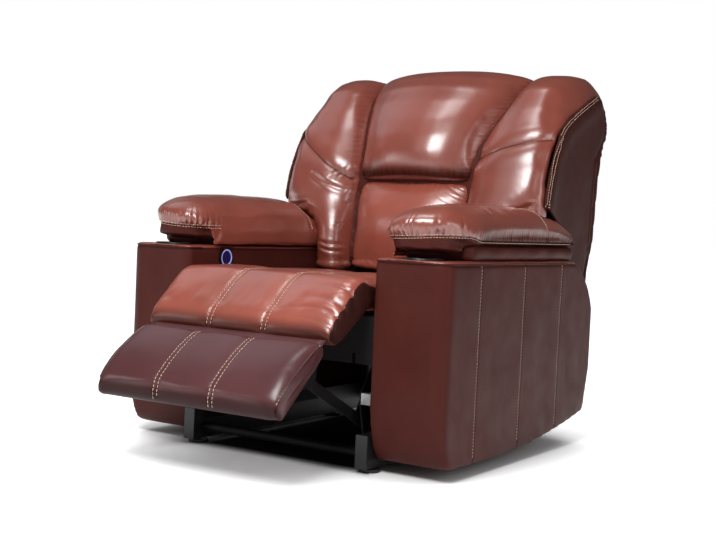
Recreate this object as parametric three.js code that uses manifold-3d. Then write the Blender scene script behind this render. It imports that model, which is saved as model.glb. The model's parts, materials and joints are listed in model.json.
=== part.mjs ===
// Power recliner seat with padded arms, cup wells, a three-part back and a footrest on side linkages.
// Millimetres. X runs across the seat, Y from front to back, Z up, the floor at Z = 0.
// Y is measured from the front of the arms, and the finished group is centred at the end.
import * as THREE from 'three';
import { mergeVertices } from 'three/addons/utils/BufferGeometryUtils.js';
import Module from 'manifold-3d';

const wasm = await Module();
wasm.setup();

// Overall sizes
const overallWidth = 1000;
const armWidth = 208;
const armTop = 534;
const armArcOver = 12;
const armRearCut = 18;
const armFloorGap = 30;
const fitGap = 0.3;
const runningGap = 3;
const cutOverrun = 5;

// Arm body
const armOuterCorner = 26;
const armInnerCorner = 8;
const armBow = 12;
const armRearLift = 62;
const armFlatRun = 300;
const armRearFoot = 190;
const armTaper = 30;
const armSweepShare = 0.62;
const armCornerShare = 0.7;
const armToeRun = 70;
const armToeRise = 270;
const armToeReach = 22;

// Cup holder
const cupRadius = 44;
const cupDepth = 74;
const cupWall = 2;
const cupRimWidth = 6;
const cupRimHeight = 3;
const cupFromInner = 103;
const cupFromFront = 70;

// Arm pad and the band under it
const bandHeight = 38;
const bandFrontOuter = 132;
const bandFrontInner = 142;
const bandInset = 3;
const padRear = 760;
const padFront = 20;
const padNoseSweep = 52;
const padSweepEnd = 260;
const padSeamFront = 100;
const padRise = 90;
const padLap = 9;
const padLapDepth = 44;
const padEdge = 5;
const padPressStart = 540;
const padPressEnd = 600;
const padOuterLift = 16;
const padPressedShare = 1.05;
const padRoundPower = 2.6;
const padLeanPower = 1.1;
const padEdgePower = 9;
const padLiftRamp = 3;
const tongueDrop = 18;
const tongueRise = 20;
const tongueInset = 12;
// A cubic curve's middle lies this share of the way from its ends to its control points
const curveRise = 0.75;

// Seat
const seatTop = 484;
const seatBottom = 396.5;
const seatFront = 42;
const seatRear = 636;
const seatSideGap = 6;
const seatSideDrop = 26;
const seatSideRound = 52;
const seatCrown = 20;
const channelAt = 84;
const channelDepth = 7;
const channelHalf = 13;

// Chaise pad and footrest, in the pose shown
const hingeFront = -10;
const hingeHeight = 440;
const creaseFront = -155;
const creaseHeight = 338;
const rollRadius = 46;
const chaiseSideGap = 8;
const footSideGap = 15;
const footLength = 245;
const footAngle = 41.3;
const footBulge = 31;
const footInner = 30;
const footSideDrop = 16;
const boardThick = 15;
const boardInset = 14;
const boardEnd = 22;

// Backrest
const recliner = { y: 690, z: 300 };
const backArcGap = 14;
const backFront = 572;
const backRear = 1067;
const backBase = 490;
const backTop = 1089;
const backSideInset = 45;
const wingArmGap = 12;
const lowerWingWidth = 88;
const upperWingWidth = 192;
const cushionGap = 6;
const sidePanelThick = 14;
const rearPanelThick = 22;
const sidePanelFrom = 676;
const arcEndShare = 0.93;
const deckThick = 8;
const deckPoints = 7;
const deckGap = 2;
const postThick = 30;
const postDepth = 45;
const postFoot = 262;
const postTopShare = 0.5259;
const backRailHeight = 60;
const backRailDepth = 40;

// Frame and mechanism
const railThick = 33.7;
const railBottom = 12;
const railTop = 95;
const railFront = 20;
const railRear = 880;
const tubeRadius = 12;
const tubeHeight = 45;
const frontTubeAt = 62;
const rearGlideAt = 720;
const glideRadius = 27;
const glideHeight = 8;
const glideStemRadius = 9;
const glideInset = 17;
const plateThick = 4;
const plateTop = 345;
const plateBottom = 66;
const linkThick = 4;
const linkStep = 7;
const linkWidth = 26;
const bossRadius = 9;
const seatRailHeight = 46.7;
const seatRailWidth = 52;
const frontRailAt = 30;
const frontRailThick = 22;
const frontRailBottom = 268;
const frontRailTop = 388;
const linkNotchHeight = 26;
const seatFrameEnd = 602;
const seatDeckThick = 4;
const liftPivot = { y: 214, z: 315 };
const kneePivot = { y: 95, z: 106.5 };
const bracketPivot = { y: -165, z: 235 };
const guidePivot = { y: 176, z: 328 };
const guideShare = 0.15;
const bracketWidth = 44;
const crankLength = 60;
const crankSlotWidth = 16;
const crankSlotShort = 56;
const crankSlotLong = 84;
const crankThick = 8;
const crankWidth = 34;
const rodRadius = 7;
const rodPinRadius = 5;
const clevisWidth = 24;
const clevisLength = 34;
const clevisWall = 4;
const actuatorFront = 300;
const actuatorNose = 28;
const actuatorEndWall = 12;
const rodRear = 462;
const actuatorRear = 540;
const actuatorRadius = 17;
const motorRadius = 26;
const motorLength = 110;
const motorTubeSize = 25;
const apronAt = 884;
const apronThick = 14;
const apronBottom = 40;
const apronTop = 420;
const pinRadius = 6;
const pinHeadRadius = 11;
const pinHeadThick = 3;
const pinRunning = 0.5;
const bracketPlateHeight = 150;
const zincDepth = 26;
const zincHeight = 28;
const zincAt = 36;
const zincBottom = 168;
const inletWidth = 26;
const inletDepth = 16;
const inletHeight = 20;
const inletSlotWidth = 14;
const inletSlotHeight = 9;
const inletSlotDepth = 11;

// Power switch in the inner face of one arm
const switchAt = { y: 169, z: 500 };
const bezelRadius = 27;
const bezelProud = 3;
const bezelDepth = 16;
const ringOuter = 23;
const ringInner = 20;
const ringDepth = 4;
const buttonRadius = 18.5;
const buttonSplit = 1.2;
const buttonDepth = 7;
const buttonTravel = 1.5;

// Counts of facets
const roundFacets = 32;
const smallFacets = 20;
const cornerFacets = 6;

const innerFace = overallWidth / 2 - armWidth;
// The arm's rear follows an arc about the recline pivot, so that the back clears it
const armArc = armTop - recliner.z + armArcOver;
const armDepth = recliner.y + armArc - armRearCut;
const backHalf = overallWidth / 2 - backSideInset;
const postTop = backBase + (backTop - backBase) * postTopShare;
const lowerWingHalf = innerFace - wingArmGap;
const grooveHalf = lowerWingHalf - lowerWingWidth;
const valleyHalf = backHalf - upperWingWidth;
const seatHalf = innerFace - seatSideGap;
const railInner = innerFace - fitGap - railThick;
const plateOuter = railInner - fitGap;
const liftOuter = plateOuter - plateThick - runningGap - fitGap;
const reachOuter = liftOuter - linkStep;
const guideOuter = reachOuter - linkStep;

const leather = { color: 0x6a2f22, roughness: 0.38, metalness: 0 };
const darkLeather = { color: 0x4a201b, roughness: 0.42, metalness: 0 };
const brightLeather = { color: 0x8a4228, roughness: 0.36, metalness: 0 };
const blackSteel = { color: 0x17171a, roughness: 0.45, metalness: 0.8 };
const zinc = { color: 0xa9acae, roughness: 0.35, metalness: 0.9 };
const board = { color: 0x9c7a50, roughness: 0.75, metalness: 0 };
const webbing = { color: 0x201d1c, roughness: 0.9, metalness: 0 };
const blackPlastic = { color: 0x121214, roughness: 0.4, metalness: 0 };
const litRing = { color: 0x4a66ff, roughness: 0.3, metalness: 0, emissive: 0x2036ff };

const group = new THREE.Group();

function add(name, geometry, finish) {
  const clean = geometry.index ? geometry : mergedCopy(geometry);
  const mesh = new THREE.Mesh(clean, new THREE.MeshStandardMaterial(finish));
  mesh.name = name;
  group.add(mesh);
}

function mergedCopy(geometry) {
  const bare = geometry.clone();
  bare.deleteAttribute('normal');
  bare.deleteAttribute('uv');
  return mergeVertices(bare);
}

function toSolid(geometry) {
  const bare = mergedCopy(geometry);
  return new wasm.Manifold(new wasm.Mesh({
    numProp: 3,
    vertProperties: new Float32Array(bare.attributes.position.array),
    triVerts: new Uint32Array(bare.index.array),
  }));
}

function fromSolid(solid) {
  const mesh = solid.getMesh();
  const geometry = new THREE.BufferGeometry();
  geometry.setAttribute('position', new THREE.BufferAttribute(mesh.vertProperties, 3));
  geometry.setIndex(new THREE.BufferAttribute(mesh.triVerts, 1));
  return geometry;
}

function subtract(base, ...tools) {
  return fromSolid(tools.reduce((solid, tool) => solid.subtract(toSolid(tool)), toSolid(base)));
}

function join(base, ...others) {
  return fromSolid(others.reduce((solid, other) => solid.add(toSolid(other)), toSolid(base)));
}

function common(a, b) {
  return fromSolid(toSolid(a).intersect(toSolid(b)));
}

function mirrorX(geometry) {
  const bare = mergedCopy(geometry);
  bare.scale(-1, 1, 1);
  const index = bare.index.array;
  for (let i = 0; i < index.length; i += 3) {
    [index[i + 1], index[i + 2]] = [index[i + 2], index[i + 1]];
  }
  return bare;
}

// Adds a piece on the +X side and its mirror image on the -X side
function addPair(name, geometry, finish) {
  add(`${name}_r`, geometry, finish);
  add(`${name}_l`, mirrorX(geometry), finish);
}

function lerp(a, b, share) {
  return a + (b - a) * share;
}

function block(x0, x1, y0, y1, z0, z1) {
  const box = new THREE.BoxGeometry(x1 - x0, y1 - y0, z1 - z0);
  return box.translate(lerp(x0, x1, 1 / 2), lerp(y0, y1, 1 / 2), lerp(z0, z1, 1 / 2));
}

// Outline in (Y, Z), pushed along X
function extrudeX(shape, x0, x1) {
  const solid = new THREE.ExtrudeGeometry(shape, {
    depth: x1 - x0, bevelEnabled: false, curveSegments: cornerFacets,
  });
  const axes = new THREE.Matrix4().makeBasis(
    new THREE.Vector3(0, 1, 0), new THREE.Vector3(0, 0, 1), new THREE.Vector3(1, 0, 0),
  );
  return solid.applyMatrix4(axes).translate(x0, 0, 0);
}

// Outline in (X, Y), pushed along Z
function extrudeZ(shape, z0, z1) {
  const solid = new THREE.ExtrudeGeometry(shape, {
    depth: z1 - z0, bevelEnabled: false, curveSegments: cornerFacets,
  });
  return solid.translate(0, 0, z0);
}

function rodX(radius, x0, x1, y, z, facets = smallFacets) {
  const rod = new THREE.CylinderGeometry(radius, radius, x1 - x0, facets);
  return rod.rotateZ(Math.PI / 2).translate(lerp(x0, x1, 1 / 2), y, z);
}

function rodY(radius, y0, y1, x, z, facets = smallFacets) {
  const rod = new THREE.CylinderGeometry(radius, radius, y1 - y0, facets);
  return rod.translate(x, lerp(y0, y1, 1 / 2), z);
}

function rodZ(radius, z0, z1, x, y, facets = smallFacets) {
  const rod = new THREE.CylinderGeometry(radius, radius, z1 - z0, facets);
  return rod.rotateX(Math.PI / 2).translate(x, y, lerp(z0, z1, 1 / 2));
}

function outline(points) {
  return new THREE.Shape(points.map(([a, b]) => new THREE.Vector2(a, b)));
}

// Outline of a flat link with round ends between two pivots
function linkShape(from, to, width) {
  const turn = Math.atan2(to.z - from.z, to.y - from.y);
  const shape = new THREE.Shape();
  shape.absarc(from.y, from.z, width / 2, turn + Math.PI / 2, turn - Math.PI / 2, false);
  shape.absarc(to.y, to.z, width / 2, turn - Math.PI / 2, turn + Math.PI / 2, false);
  shape.closePath();
  return shape;
}

// Catmull-Rom value through a list of numbers, at a share from 0 to 1 along it
function along(values, share) {
  const place = share * (values.length - 1);
  const i = Math.min(Math.floor(place), values.length - 2);
  const t = place - i;
  const p1 = values[i];
  const p2 = values[i + 1];
  const p0 = i > 0 ? values[i - 1] : p1;
  const p3 = i + 2 < values.length ? values[i + 2] : p2;
  const slope1 = (p2 - p0) / 2;
  const slope2 = (p3 - p1) / 2;
  const t2 = t * t;
  const t3 = t2 * t;
  return p1 * (2 * t3 - 3 * t2 + 1) + slope1 * (t3 - 2 * t2 + t)
    + p2 * (3 * t2 - 2 * t3) + slope2 * (t3 - t2);
}

// A closed padded solid between two grids that face away from each other.
// outer and inner give a point for a column (across) and a row (along), both from 0 to 1.
function padded(columnShares, rowShares, outer, inner) {
  const columns = columnShares.length;
  const rows = rowShares.length;
  const positions = [];
  for (const face of [outer, inner]) {
    for (const row of rowShares) {
      for (const column of columnShares) {
        positions.push(...face(column, row));
      }
    }
  }
  const faceSize = columns * rows;
  const index = [];
  const quad = (a, b, c, d) => index.push(a, b, c, a, c, d);
  for (let r = 0; r < rows - 1; r += 1) {
    for (let c = 0; c < columns - 1; c += 1) {
      const a = r * columns + c;
      quad(a, a + 1, a + 1 + columns, a + columns);
      quad(faceSize + a, faceSize + a + columns, faceSize + a + 1 + columns, faceSize + a + 1);
    }
  }
  const rim = [];
  for (let c = 0; c < columns - 1; c += 1) rim.push(c);
  for (let r = 0; r < rows - 1; r += 1) rim.push(r * columns + columns - 1);
  for (let c = columns - 1; c > 0; c -= 1) rim.push((rows - 1) * columns + c);
  for (let r = rows - 1; r > 0; r -= 1) rim.push(r * columns);
  rim.forEach((a, i) => {
    const b = rim[(i + 1) % rim.length];
    quad(b, a, faceSize + a, faceSize + b);
  });
  return facingOut(positions, index);
}

function facingOut(positions, index) {
  let volume = 0;
  const p = (i) => new THREE.Vector3().fromArray(positions, i * 3);
  for (let i = 0; i < index.length; i += 3) {
    volume += p(index[i]).dot(p(index[i + 1]).cross(p(index[i + 2])));
  }
  if (volume < 0) index.reverse();
  const geometry = new THREE.BufferGeometry();
  geometry.setAttribute('position', new THREE.Float32BufferAttribute(positions, 3));
  geometry.setIndex(index);
  return geometry;
}

function evenShares(count) {
  return Array.from({ length: count + 1 }, (_, i) => i / count);
}

// Columns close to the sewn channels and the rounded sides, as shares of the width
const halfColumnShares = [0.1, 0.2, 0.25, 0.295, 0.34, 0.42, 0.58, 0.74, 0.86, 0.94, 0.985, 1];
const seatColumnShares = [
  ...halfColumnShares.map((share) => (1 - share) / 2).reverse(),
  1 / 2,
  ...halfColumnShares.map((share) => (1 + share) / 2),
];

// How far the top of a seat panel sinks at x: the sewn channels and the rounded sides
function panelSink(x, half, sideDrop) {
  const toChannel = Math.abs(Math.abs(x) - channelAt);
  const channel = toChannel < channelHalf
    ? channelDepth * (1 - toChannel / channelHalf) ** 2 : 0;
  const intoSide = Math.max(0, (Math.abs(x) - half + seatSideRound) / seatSideRound);
  return channel + sideDrop * (1 - Math.sqrt(1 - Math.min(1, intoSide) ** 2));
}

function buildArms() {
  const outer = overallWidth / 2;
  const topEnd = recliner.y + Math.sqrt(armArc ** 2 - (armTop - recliner.z) ** 2);
  const arcLow = recliner.z + Math.sqrt(armArc ** 2 - (armDepth - recliner.y) ** 2);
  const side = new THREE.Shape();
  side.moveTo(armToeRun, armFloorGap);
  side.quadraticCurveTo(armToeReach, armFloorGap, 0, armFloorGap + armToeRise);
  side.lineTo(0, armTop);
  side.lineTo(topEnd, armTop);
  side.absarc(
    recliner.y, recliner.z, armArc,
    Math.atan2(armTop - recliner.z, topEnd - recliner.y),
    Math.atan2(arcLow - recliner.z, armDepth - recliner.y), true,
  );
  side.lineTo(armDepth, armFloorGap + armRearFoot);
  side.lineTo(armDepth - armTaper, armFloorGap + armRearLift);
  side.quadraticCurveTo(armDepth * armSweepShare, armFloorGap, armFlatRun, armFloorGap);
  side.closePath();

  const plan = new THREE.Shape();
  plan.moveTo(innerFace, armDepth + cutOverrun);
  plan.lineTo(innerFace, armBow + armInnerCorner);
  plan.quadraticCurveTo(innerFace, armBow, innerFace + armInnerCorner, armBow * armCornerShare);
  plan.quadraticCurveTo(
    outer - armWidth / 2, -armBow / 2, outer - armOuterCorner, armBow,
  );
  plan.quadraticCurveTo(outer, armBow + armBow, outer, armBow + armOuterCorner);
  plan.lineTo(outer, armDepth + cutOverrun);
  plan.closePath();

  const cupX = innerFace + cupFromInner;
  const wellRadius = cupRadius + cupWall + fitGap;
  const wellFloor = armTop - cupDepth - cupWall - fitGap;
  const well = rodZ(wellRadius, wellFloor, armTop + cutOverrun, cupX, cupFromFront, roundFacets);
  const body = subtract(
    common(extrudeX(side, innerFace, outer), extrudeZ(plan, 0, armTop + cutOverrun)), well,
  );
  add('arm_body_r', body, darkLeather);
  const pocketRadius = bezelRadius - bezelProud + fitGap;
  const pocketEnd = innerFace + bezelDepth + fitGap;
  const pocket = switchRod(pocketRadius, innerFace - cutOverrun, pocketEnd);
  add('arm_body_l', subtract(mirrorX(body), mirrorX(pocket)), darkLeather);
  addPair('cup_holder', cupHolder().translate(cupX, cupFromFront, 0), blackPlastic);
}

// Round solid on the axis of the power switch
function switchRod(radius, x0, x1) {
  return rodX(radius, x0, x1, switchAt.y, switchAt.z, roundFacets);
}

function cupHolder() {
  const outer = cupRadius + cupWall;
  const rim = outer + cupRimWidth;
  const floor = armTop - cupDepth;
  const over = armTop + fitGap;
  const profile = [
    [0, floor - cupWall], [outer, floor - cupWall], [outer, over], [rim, over],
    [rim - cupWall, over + cupRimHeight], [cupRadius, over + cupRimHeight], [cupRadius, floor],
    [0, floor],
  ];
  const turned = new THREE.LatheGeometry(profile.map(([r, z]) => new THREE.Vector2(r, z)), roundFacets);
  return turned.rotateX(Math.PI / 2);
}

function buildArmPads() {
  const outer = overallWidth / 2;
  const bandBottom = armTop + fitGap;
  const seam = armTop + bandHeight;
  const band = new THREE.Shape();
  band.moveTo(innerFace + fitGap, padRear);
  band.lineTo(innerFace + fitGap, bandFrontInner);
  band.quadraticCurveTo(
    outer - armWidth / 2, bandFrontInner - padEdge, outer - armOuterCorner, bandFrontOuter,
  );
  const bandOuter = outer - bandInset;
  band.quadraticCurveTo(
    bandOuter, bandFrontOuter + bandInset, bandOuter, bandFrontOuter + armOuterCorner,
  );
  band.lineTo(bandOuter, padRear);
  band.closePath();
  addPair('arm_band', extrudeZ(band, bandBottom, seam), darkLeather);

  // Side view of the crown from the front seam, round the nose and along the top to the rear
  const noseShares = [1, 0.62, 0.18, 0.03, 0, 0.05, 0.22, 0.5, 0.95];
  const lengthShares = [0.11, 0.3, 0.66, 0.93, 1];
  const crownYs = [
    ...noseShares.map((share) => lerp(padFront, padSeamFront, share)),
    ...lengthShares.map((share) => lerp(padSeamFront, padRear, share)),
  ];
  const riseShares = [0, 0.03, 0.07, 0.2, 0.36, 0.5, 0.62, 0.74, 0.86, 0.94, 1, 0.98, 0.8, 0];
  const columnShares = [-0.2, -0.1, 0, 0.05, 0.12, 0.22, 0.36, 0.52, 0.68, 0.8, 0.9, 0.965, 1];
  const rowShares = evenShares(20);
  const foot = seam + fitGap;
  const place = (column, row, lift) => {
    const y = along(crownYs, row);
    if (column < 0) {
      const drop = padLapDepth * (column / columnShares[0]);
      const x = lift ? innerFace - padLap : innerFace - fitGap;
      const lapY = Math.min(Math.max(y, padSeamFront + padEdge), padRear - padEdge);
      return [x, lapY, foot - drop + (lift ? padEdge : 0)];
    }
    const x = lerp(innerFace - padLap, outer, column);
    // The nose runs back towards the outside of the arm
    const swept = (at) => at + padNoseSweep * column ** 2
      * (1 - THREE.MathUtils.smoothstep(at, padSeamFront, padSweepEnd));
    if (!lift) return [Math.max(x, innerFace - fitGap), swept(Math.max(y, padSeamFront)), foot];
    const puff = Math.sqrt(1 - Math.abs(2 * column - 1) ** padRoundPower);
    const pressed = padPressedShare * column ** padLeanPower * (1 - column ** padEdgePower);
    const press = THREE.MathUtils.smoothstep(y, padPressStart, padPressEnd);
    const riseShare = along(riseShares, row);
    const rise = padRise * riseShare * lerp(puff, pressed, press);
    const lean = padOuterLift * column * Math.min(1, riseShare * padLiftRamp);
    const nose = lerp(Math.max(y, padSeamFront - padEdge), y, puff);
    return [x, swept(nose), foot + padEdge + rise + lean];
  };
  const pad = padded(
    columnShares, rowShares, (c, r) => place(c, r, true), (c, r) => place(c, r, false),
  );
  // Boxing under the nose, set in from its edge, with its front at the middle of the curve
  const tongueFront = padFront + tongueInset;
  const tongueControl = padSeamFront - (padSeamFront - tongueFront) / curveRise;
  const tongueRear = bandFrontOuter - fitGap;
  const tongueInner = innerFace + padEdge;
  const tongueOuter = outer - armOuterCorner;
  const tongue = new THREE.Shape();
  tongue.moveTo(tongueInner, tongueRear);
  tongue.lineTo(tongueInner, padSeamFront);
  tongue.bezierCurveTo(
    tongueInner, tongueControl, tongueOuter, tongueControl, tongueOuter, tongueRear,
  );
  tongue.closePath();
  const boxing = extrudeZ(tongue, foot - tongueDrop, foot + tongueRise);
  addPair('arm_pad', join(pad, boxing), leather);
}

function buildSwitch() {
  const face = -innerFace;
  const bezelBack = face - bezelDepth;
  const bezelFront = face + bezelProud;
  const neckRadius = bezelRadius - bezelProud;
  const bezel = subtract(
    join(
      switchRod(neckRadius, bezelBack, bezelFront),
      switchRod(bezelRadius, face + fitGap, bezelFront),
    ),
    switchRod(ringOuter + fitGap, bezelFront - ringDepth, bezelFront + cutOverrun),
    switchRod(ringInner, bezelFront - buttonDepth - buttonTravel - fitGap, bezelFront),
  );
  add('switch_bezel', bezel, blackPlastic);
  const ring = subtract(
    switchRod(ringOuter, bezelFront - ringDepth + fitGap, bezelFront),
    switchRod(ringInner, bezelFront - ringDepth - cutOverrun, bezelFront + cutOverrun),
  );
  add('switch_ring', ring, litRing);
  for (const [name, side] of [['button_open', -1], ['button_close', 1]]) {
    const disc = switchRod(buttonRadius, bezelFront - buttonDepth, bezelFront - fitGap);
    const near = switchAt.y + side * buttonSplit / 2;
    const far = switchAt.y + side * (buttonRadius + cutOverrun);
    const keep = block(
      bezelBack - cutOverrun, bezelFront + cutOverrun, Math.min(near, far), Math.max(near, far),
      switchAt.z - bezelRadius, switchAt.z + bezelRadius,
    );
    add(name, common(disc, keep), blackPlastic);
  }
}

function buildSeat() {
  const lengthShares = [0, 0.06, 0.2, 0.4, 0.62, 0.9, 1];
  const crownShares = [-1.9, -0.07, 0.1, -0.1, -0.25, -0.49, -1.6];
  const topYs = lengthShares.map((share) => lerp(seatFront, seatRear, share));
  const topZs = crownShares.map((share) => seatTop + seatCrown * share);
  const place = (column, row, top) => {
    const x = lerp(-seatHalf, seatHalf, column);
    const y = along(topYs, row);
    if (!top) return [x, y, seatBottom];
    return [x, y, along(topZs, row) - panelSink(x, seatHalf, seatSideDrop)];
  };
  add('seat_cushion', padded(
    seatColumnShares, evenShares(9), (c, r) => place(c, r, true), (c, r) => place(c, r, false),
  ), brightLeather);
}

// Turns a place along a panel and a height off it into (Y, Z)
function onPanel(start, direction, run, off) {
  return [start.y + direction.y * run + direction.z * off, start.z + direction.z * run - direction.y * off];
}

function buildChaise() {
  const half = innerFace - chaiseSideGap;
  const hinge = { y: hingeFront, z: hingeHeight };
  const length = Math.hypot(creaseFront - hingeFront, creaseHeight - hingeHeight);
  const direction = {
    y: (creaseFront - hingeFront) / length, z: (creaseHeight - hingeHeight) / length,
  };
  // Runs are shares of the panel, heights are shares of the roll about the hinge
  const outerRunShares = [-0.24, -0.2, -0.06, 0.1, 0.3, 0.52, 0.74, 0.9, 0.975, 0.985];
  const outerHeightShares = [0.1, 0.52, 0.95, 1, 0.96, 0.86, 0.66, 0.38, 0.08, -0.12];
  const innerRunShares = [-0.2, -0.16, -0.06, 0.1, 0.3, 0.5, 0.68, 0.82, 0.9, 0.94];
  const innerHeightShares = [-0.45, -0.72, -0.94, -0.97, -0.93, -0.9, -0.88, -0.82, -0.68, -0.4];
  const place = (column, row, top) => {
    const x = lerp(-half, half, column);
    const sink = panelSink(x, half, footSideDrop);
    const run = length * along(top ? outerRunShares : innerRunShares, row);
    const height = top
      ? rollRadius * along(outerHeightShares, row) - sink * Math.min(1, 4 * row * (1 - row))
      : rollRadius * along(innerHeightShares, row);
    return [x, ...onPanel(hinge, direction, run, height)];
  };
  add('chaise_pad', padded(
    seatColumnShares, evenShares(10), (c, r) => place(c, r, true), (c, r) => place(c, r, false),
  ), brightLeather);
}

function buildFootrest() {
  const half = innerFace - footSideGap;
  const crease = { y: creaseFront, z: creaseHeight };
  const turn = THREE.MathUtils.degToRad(footAngle);
  const direction = { y: -Math.cos(turn), z: -Math.sin(turn) };
  const outerRunShares = [0.03, 0.04, 0.1, 0.26, 0.5, 0.72, 0.88, 0.955, 0.99, 1];
  const outerHeightShares = [-0.3, 0.06, 0.46, 0.68, 0.86, 0.97, 0.93, 0.7, 0.3, -0.2];
  const innerRunShares = [0.075, 0.085, 0.12, 0.26, 0.5, 0.72, 0.86, 0.93, 0.965, 0.985];
  const innerHeightShares = [-0.8, -1, -1, -1, -1, -1, -1, -1, -0.95, -0.75];
  const place = (column, row, top) => {
    const x = lerp(-half, half, column);
    const sink = panelSink(x, half, footSideDrop);
    const run = footLength * along(top ? outerRunShares : innerRunShares, row);
    const height = top
      ? footBulge * along(outerHeightShares, row) - sink * Math.min(1, 4 * row * (1 - row))
      : footInner * Math.max(-1, along(innerHeightShares, row));
    return [x, ...onPanel(crease, direction, run, height)];
  };
  add('footrest_pad', padded(
    seatColumnShares, evenShares(12), (c, r) => place(c, r, true), (c, r) => place(c, r, false),
  ), darkLeather);

  const near = -footInner - fitGap;
  const far = near - boardThick;
  const corners = [
    [boardEnd, near], [footLength - boardEnd, near], [footLength - boardEnd, far], [boardEnd, far],
  ];
  const boardShape = outline(corners.map(([run, off]) => onPanel(crease, direction, run, off)));
  add('footrest_board', extrudeX(boardShape, -half + boardInset, half - boardInset), board);

  // Bracket that hangs off the board: a foot along the board and an ear round the pivot
  const under = far - fitGap;
  const pivotRun = (bracketPivot.y - crease.y) * direction.y + (bracketPivot.z - crease.z) * direction.z;
  const footStart = pivotRun - bracketWidth;
  const earEnd = under - linkWidth - bossRadius;
  const ear = [
    [footStart, under], [pivotRun + bracketWidth, under], [pivotRun + bossRadius, under - linkWidth],
    [pivotRun + bossRadius, earEnd], [pivotRun - bossRadius, earEnd],
    [pivotRun - bossRadius, under - linkWidth],
  ];
  const earShape = outline(ear.map(([run, off]) => onPanel(crease, direction, run, off)));
  const flange = outline([
    [footStart, under], [pivotRun + bracketWidth, under],
    [pivotRun + bracketWidth, under - linkThick], [footStart, under - linkThick],
  ].map(([run, off]) => onPanel(crease, direction, run, off)));
  const bracket = join(
    extrudeX(earShape, liftOuter - linkThick, liftOuter),
    extrudeX(flange, liftOuter - linkThick - linkWidth, liftOuter),
  );
  addPair('footrest_bracket', bracket, blackSteel);
}

// Rows of the wing, head pillow and lumbar outlines, as shares of the back's depth and height
// measured from its front and its base, and of its half width across
function backPoint([depthShare, heightShare]) {
  return [lerp(backFront, backRear, depthShare), lerp(backBase, backTop, heightShare)];
}

const wingCrestShares = [
  [0.04, 0], [0.016, 0.075], [0.026, 0.167], [0.053, 0.25], [0.08, 0.325], [0.1, 0.39], [0.137, 0.49],
  [0.218, 0.626], [0.303, 0.745], [0.46, 0.893], [0.622, 0.96], [0.794, 0.98], [0.935, 0.93],
  [0.994, 0.79], [0.98, 0.69], [0.889, 0.638],
];
const wingValleyShares = [
  [0.174, 0], [0.186, 0.083], [0.202, 0.175], [0.216, 0.26], [0.228, 0.342], [0.24, 0.41], [0.26, 0.49],
  [0.325, 0.62], [0.426, 0.743], [0.545, 0.86], [0.673, 0.935], [0.784, 0.96], [0.905, 0.918],
  [0.965, 0.785], [0.958, 0.693], [0.889, 0.645],
];
const wingSeamShares = [
  [0.069, 0], [0.073, 0.075], [0.085, 0.167], [0.113, 0.244], [0.141, 0.309], [0.158, 0.387], [0.194, 0.49],
  [0.271, 0.62], [0.38, 0.74], [0.602, 0.826], [0.723, 0.871], [0.822, 0.903], [0.909, 0.878],
  [0.974, 0.776], [0.966, 0.693], [0.889, 0.645],
];
const wingBackShares = [
  [0.194, 0], [0.202, 0.075], [0.218, 0.167], [0.238, 0.25], [0.259, 0.334], [0.275, 0.4], [0.303, 0.49],
  [0.38, 0.6], [0.461, 0.621], [0.562, 0.628], [0.663, 0.629], [0.754, 0.631], [0.814, 0.631],
  [0.855, 0.631], [0.871, 0.631], [0.877, 0.631],
];
const wingInnerShares = [0, 0, 0, 0, 0, 0, 0.05, 0.22, 0.52, 0.82, 0.96, 1, 1, 1, 1, 1];
const wingOuterShares = [0, 0, 0.04, 0.34, 0.78, 0.98, 1, 1, 1, 1, 1, 1, 1, 1, 1, 1];

const pillowCrestShares = [
  [0.202, 0.437], [0.137, 0.454], [0.101, 0.5], [0.101, 0.568], [0.147, 0.668], [0.234, 0.776],
  [0.36, 0.885], [0.501, 0.962], [0.642, 0.998], [0.784, 0.995], [0.925, 0.935], [0.994, 0.81],
  [0.982, 0.693], [0.889, 0.641],
];
const pillowEdgeShares = [
  [0.259, 0.437], [0.251, 0.446], [0.259, 0.492], [0.295, 0.568], [0.349, 0.66], [0.436, 0.76],
  [0.533, 0.856], [0.642, 0.927], [0.723, 0.957], [0.814, 0.957], [0.909, 0.912], [0.966, 0.793],
  [0.958, 0.693], [0.889, 0.648],
];
const pillowBackShares = [
  [0.275, 0.446], [0.281, 0.454], [0.293, 0.492], [0.335, 0.551], [0.4, 0.604], [0.471, 0.621],
  [0.562, 0.628], [0.642, 0.629], [0.713, 0.631], [0.774, 0.631], [0.824, 0.631], [0.855, 0.631],
  [0.871, 0.631], [0.877, 0.631],
];
const pillowHalfShares = [0, 0, 0, 0.07, 0.24, 0.5, 0.74, 0.87, 0.95, 1, 1, 1, 1, 1];

const lumbarCrestShares = [
  [0.113, 0], [0.081, 0.083], [0.069, 0.184], [0.093, 0.284], [0.158, 0.376], [0.238, 0.427],
];
const lumbarEdgeShares = [
  [0.172, 0.003], [0.182, 0.092], [0.2, 0.184], [0.216, 0.275], [0.234, 0.367], [0.254, 0.42],
];
const lumbarBackShares = [
  [0.186, 0], [0.196, 0.083], [0.216, 0.184], [0.234, 0.284], [0.255, 0.376], [0.266, 0.42],
];

function backRow(table, row) {
  const depthShares = table.map(([depthShare]) => depthShare);
  const heightShares = table.map(([, heightShare]) => heightShare);
  return backPoint([along(depthShares, row), along(heightShares, row)]);
}

// How far an edge pulls the surface away from its crest: the share of the width it works over and
// how sharply it does so
const valleyPull = { share: 0.42, power: 2.1 };
const seamPull = { share: 0.34, power: 2.3 };
const wingBackPull = { share: 0.2, power: 1 };
const pillowPull = { share: 0.46, power: 2.6 };
const pillowBackPull = { share: 0.08, power: 1 };
const valleyDeepShare = 0.35;
const seamDeepShare = 0.16;
const pillowDeepShare = 0.4;

function edgePull(fromEdge, pull) {
  return fromEdge < pull.share ? (1 - fromEdge / pull.share) ** pull.power : 0;
}

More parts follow.
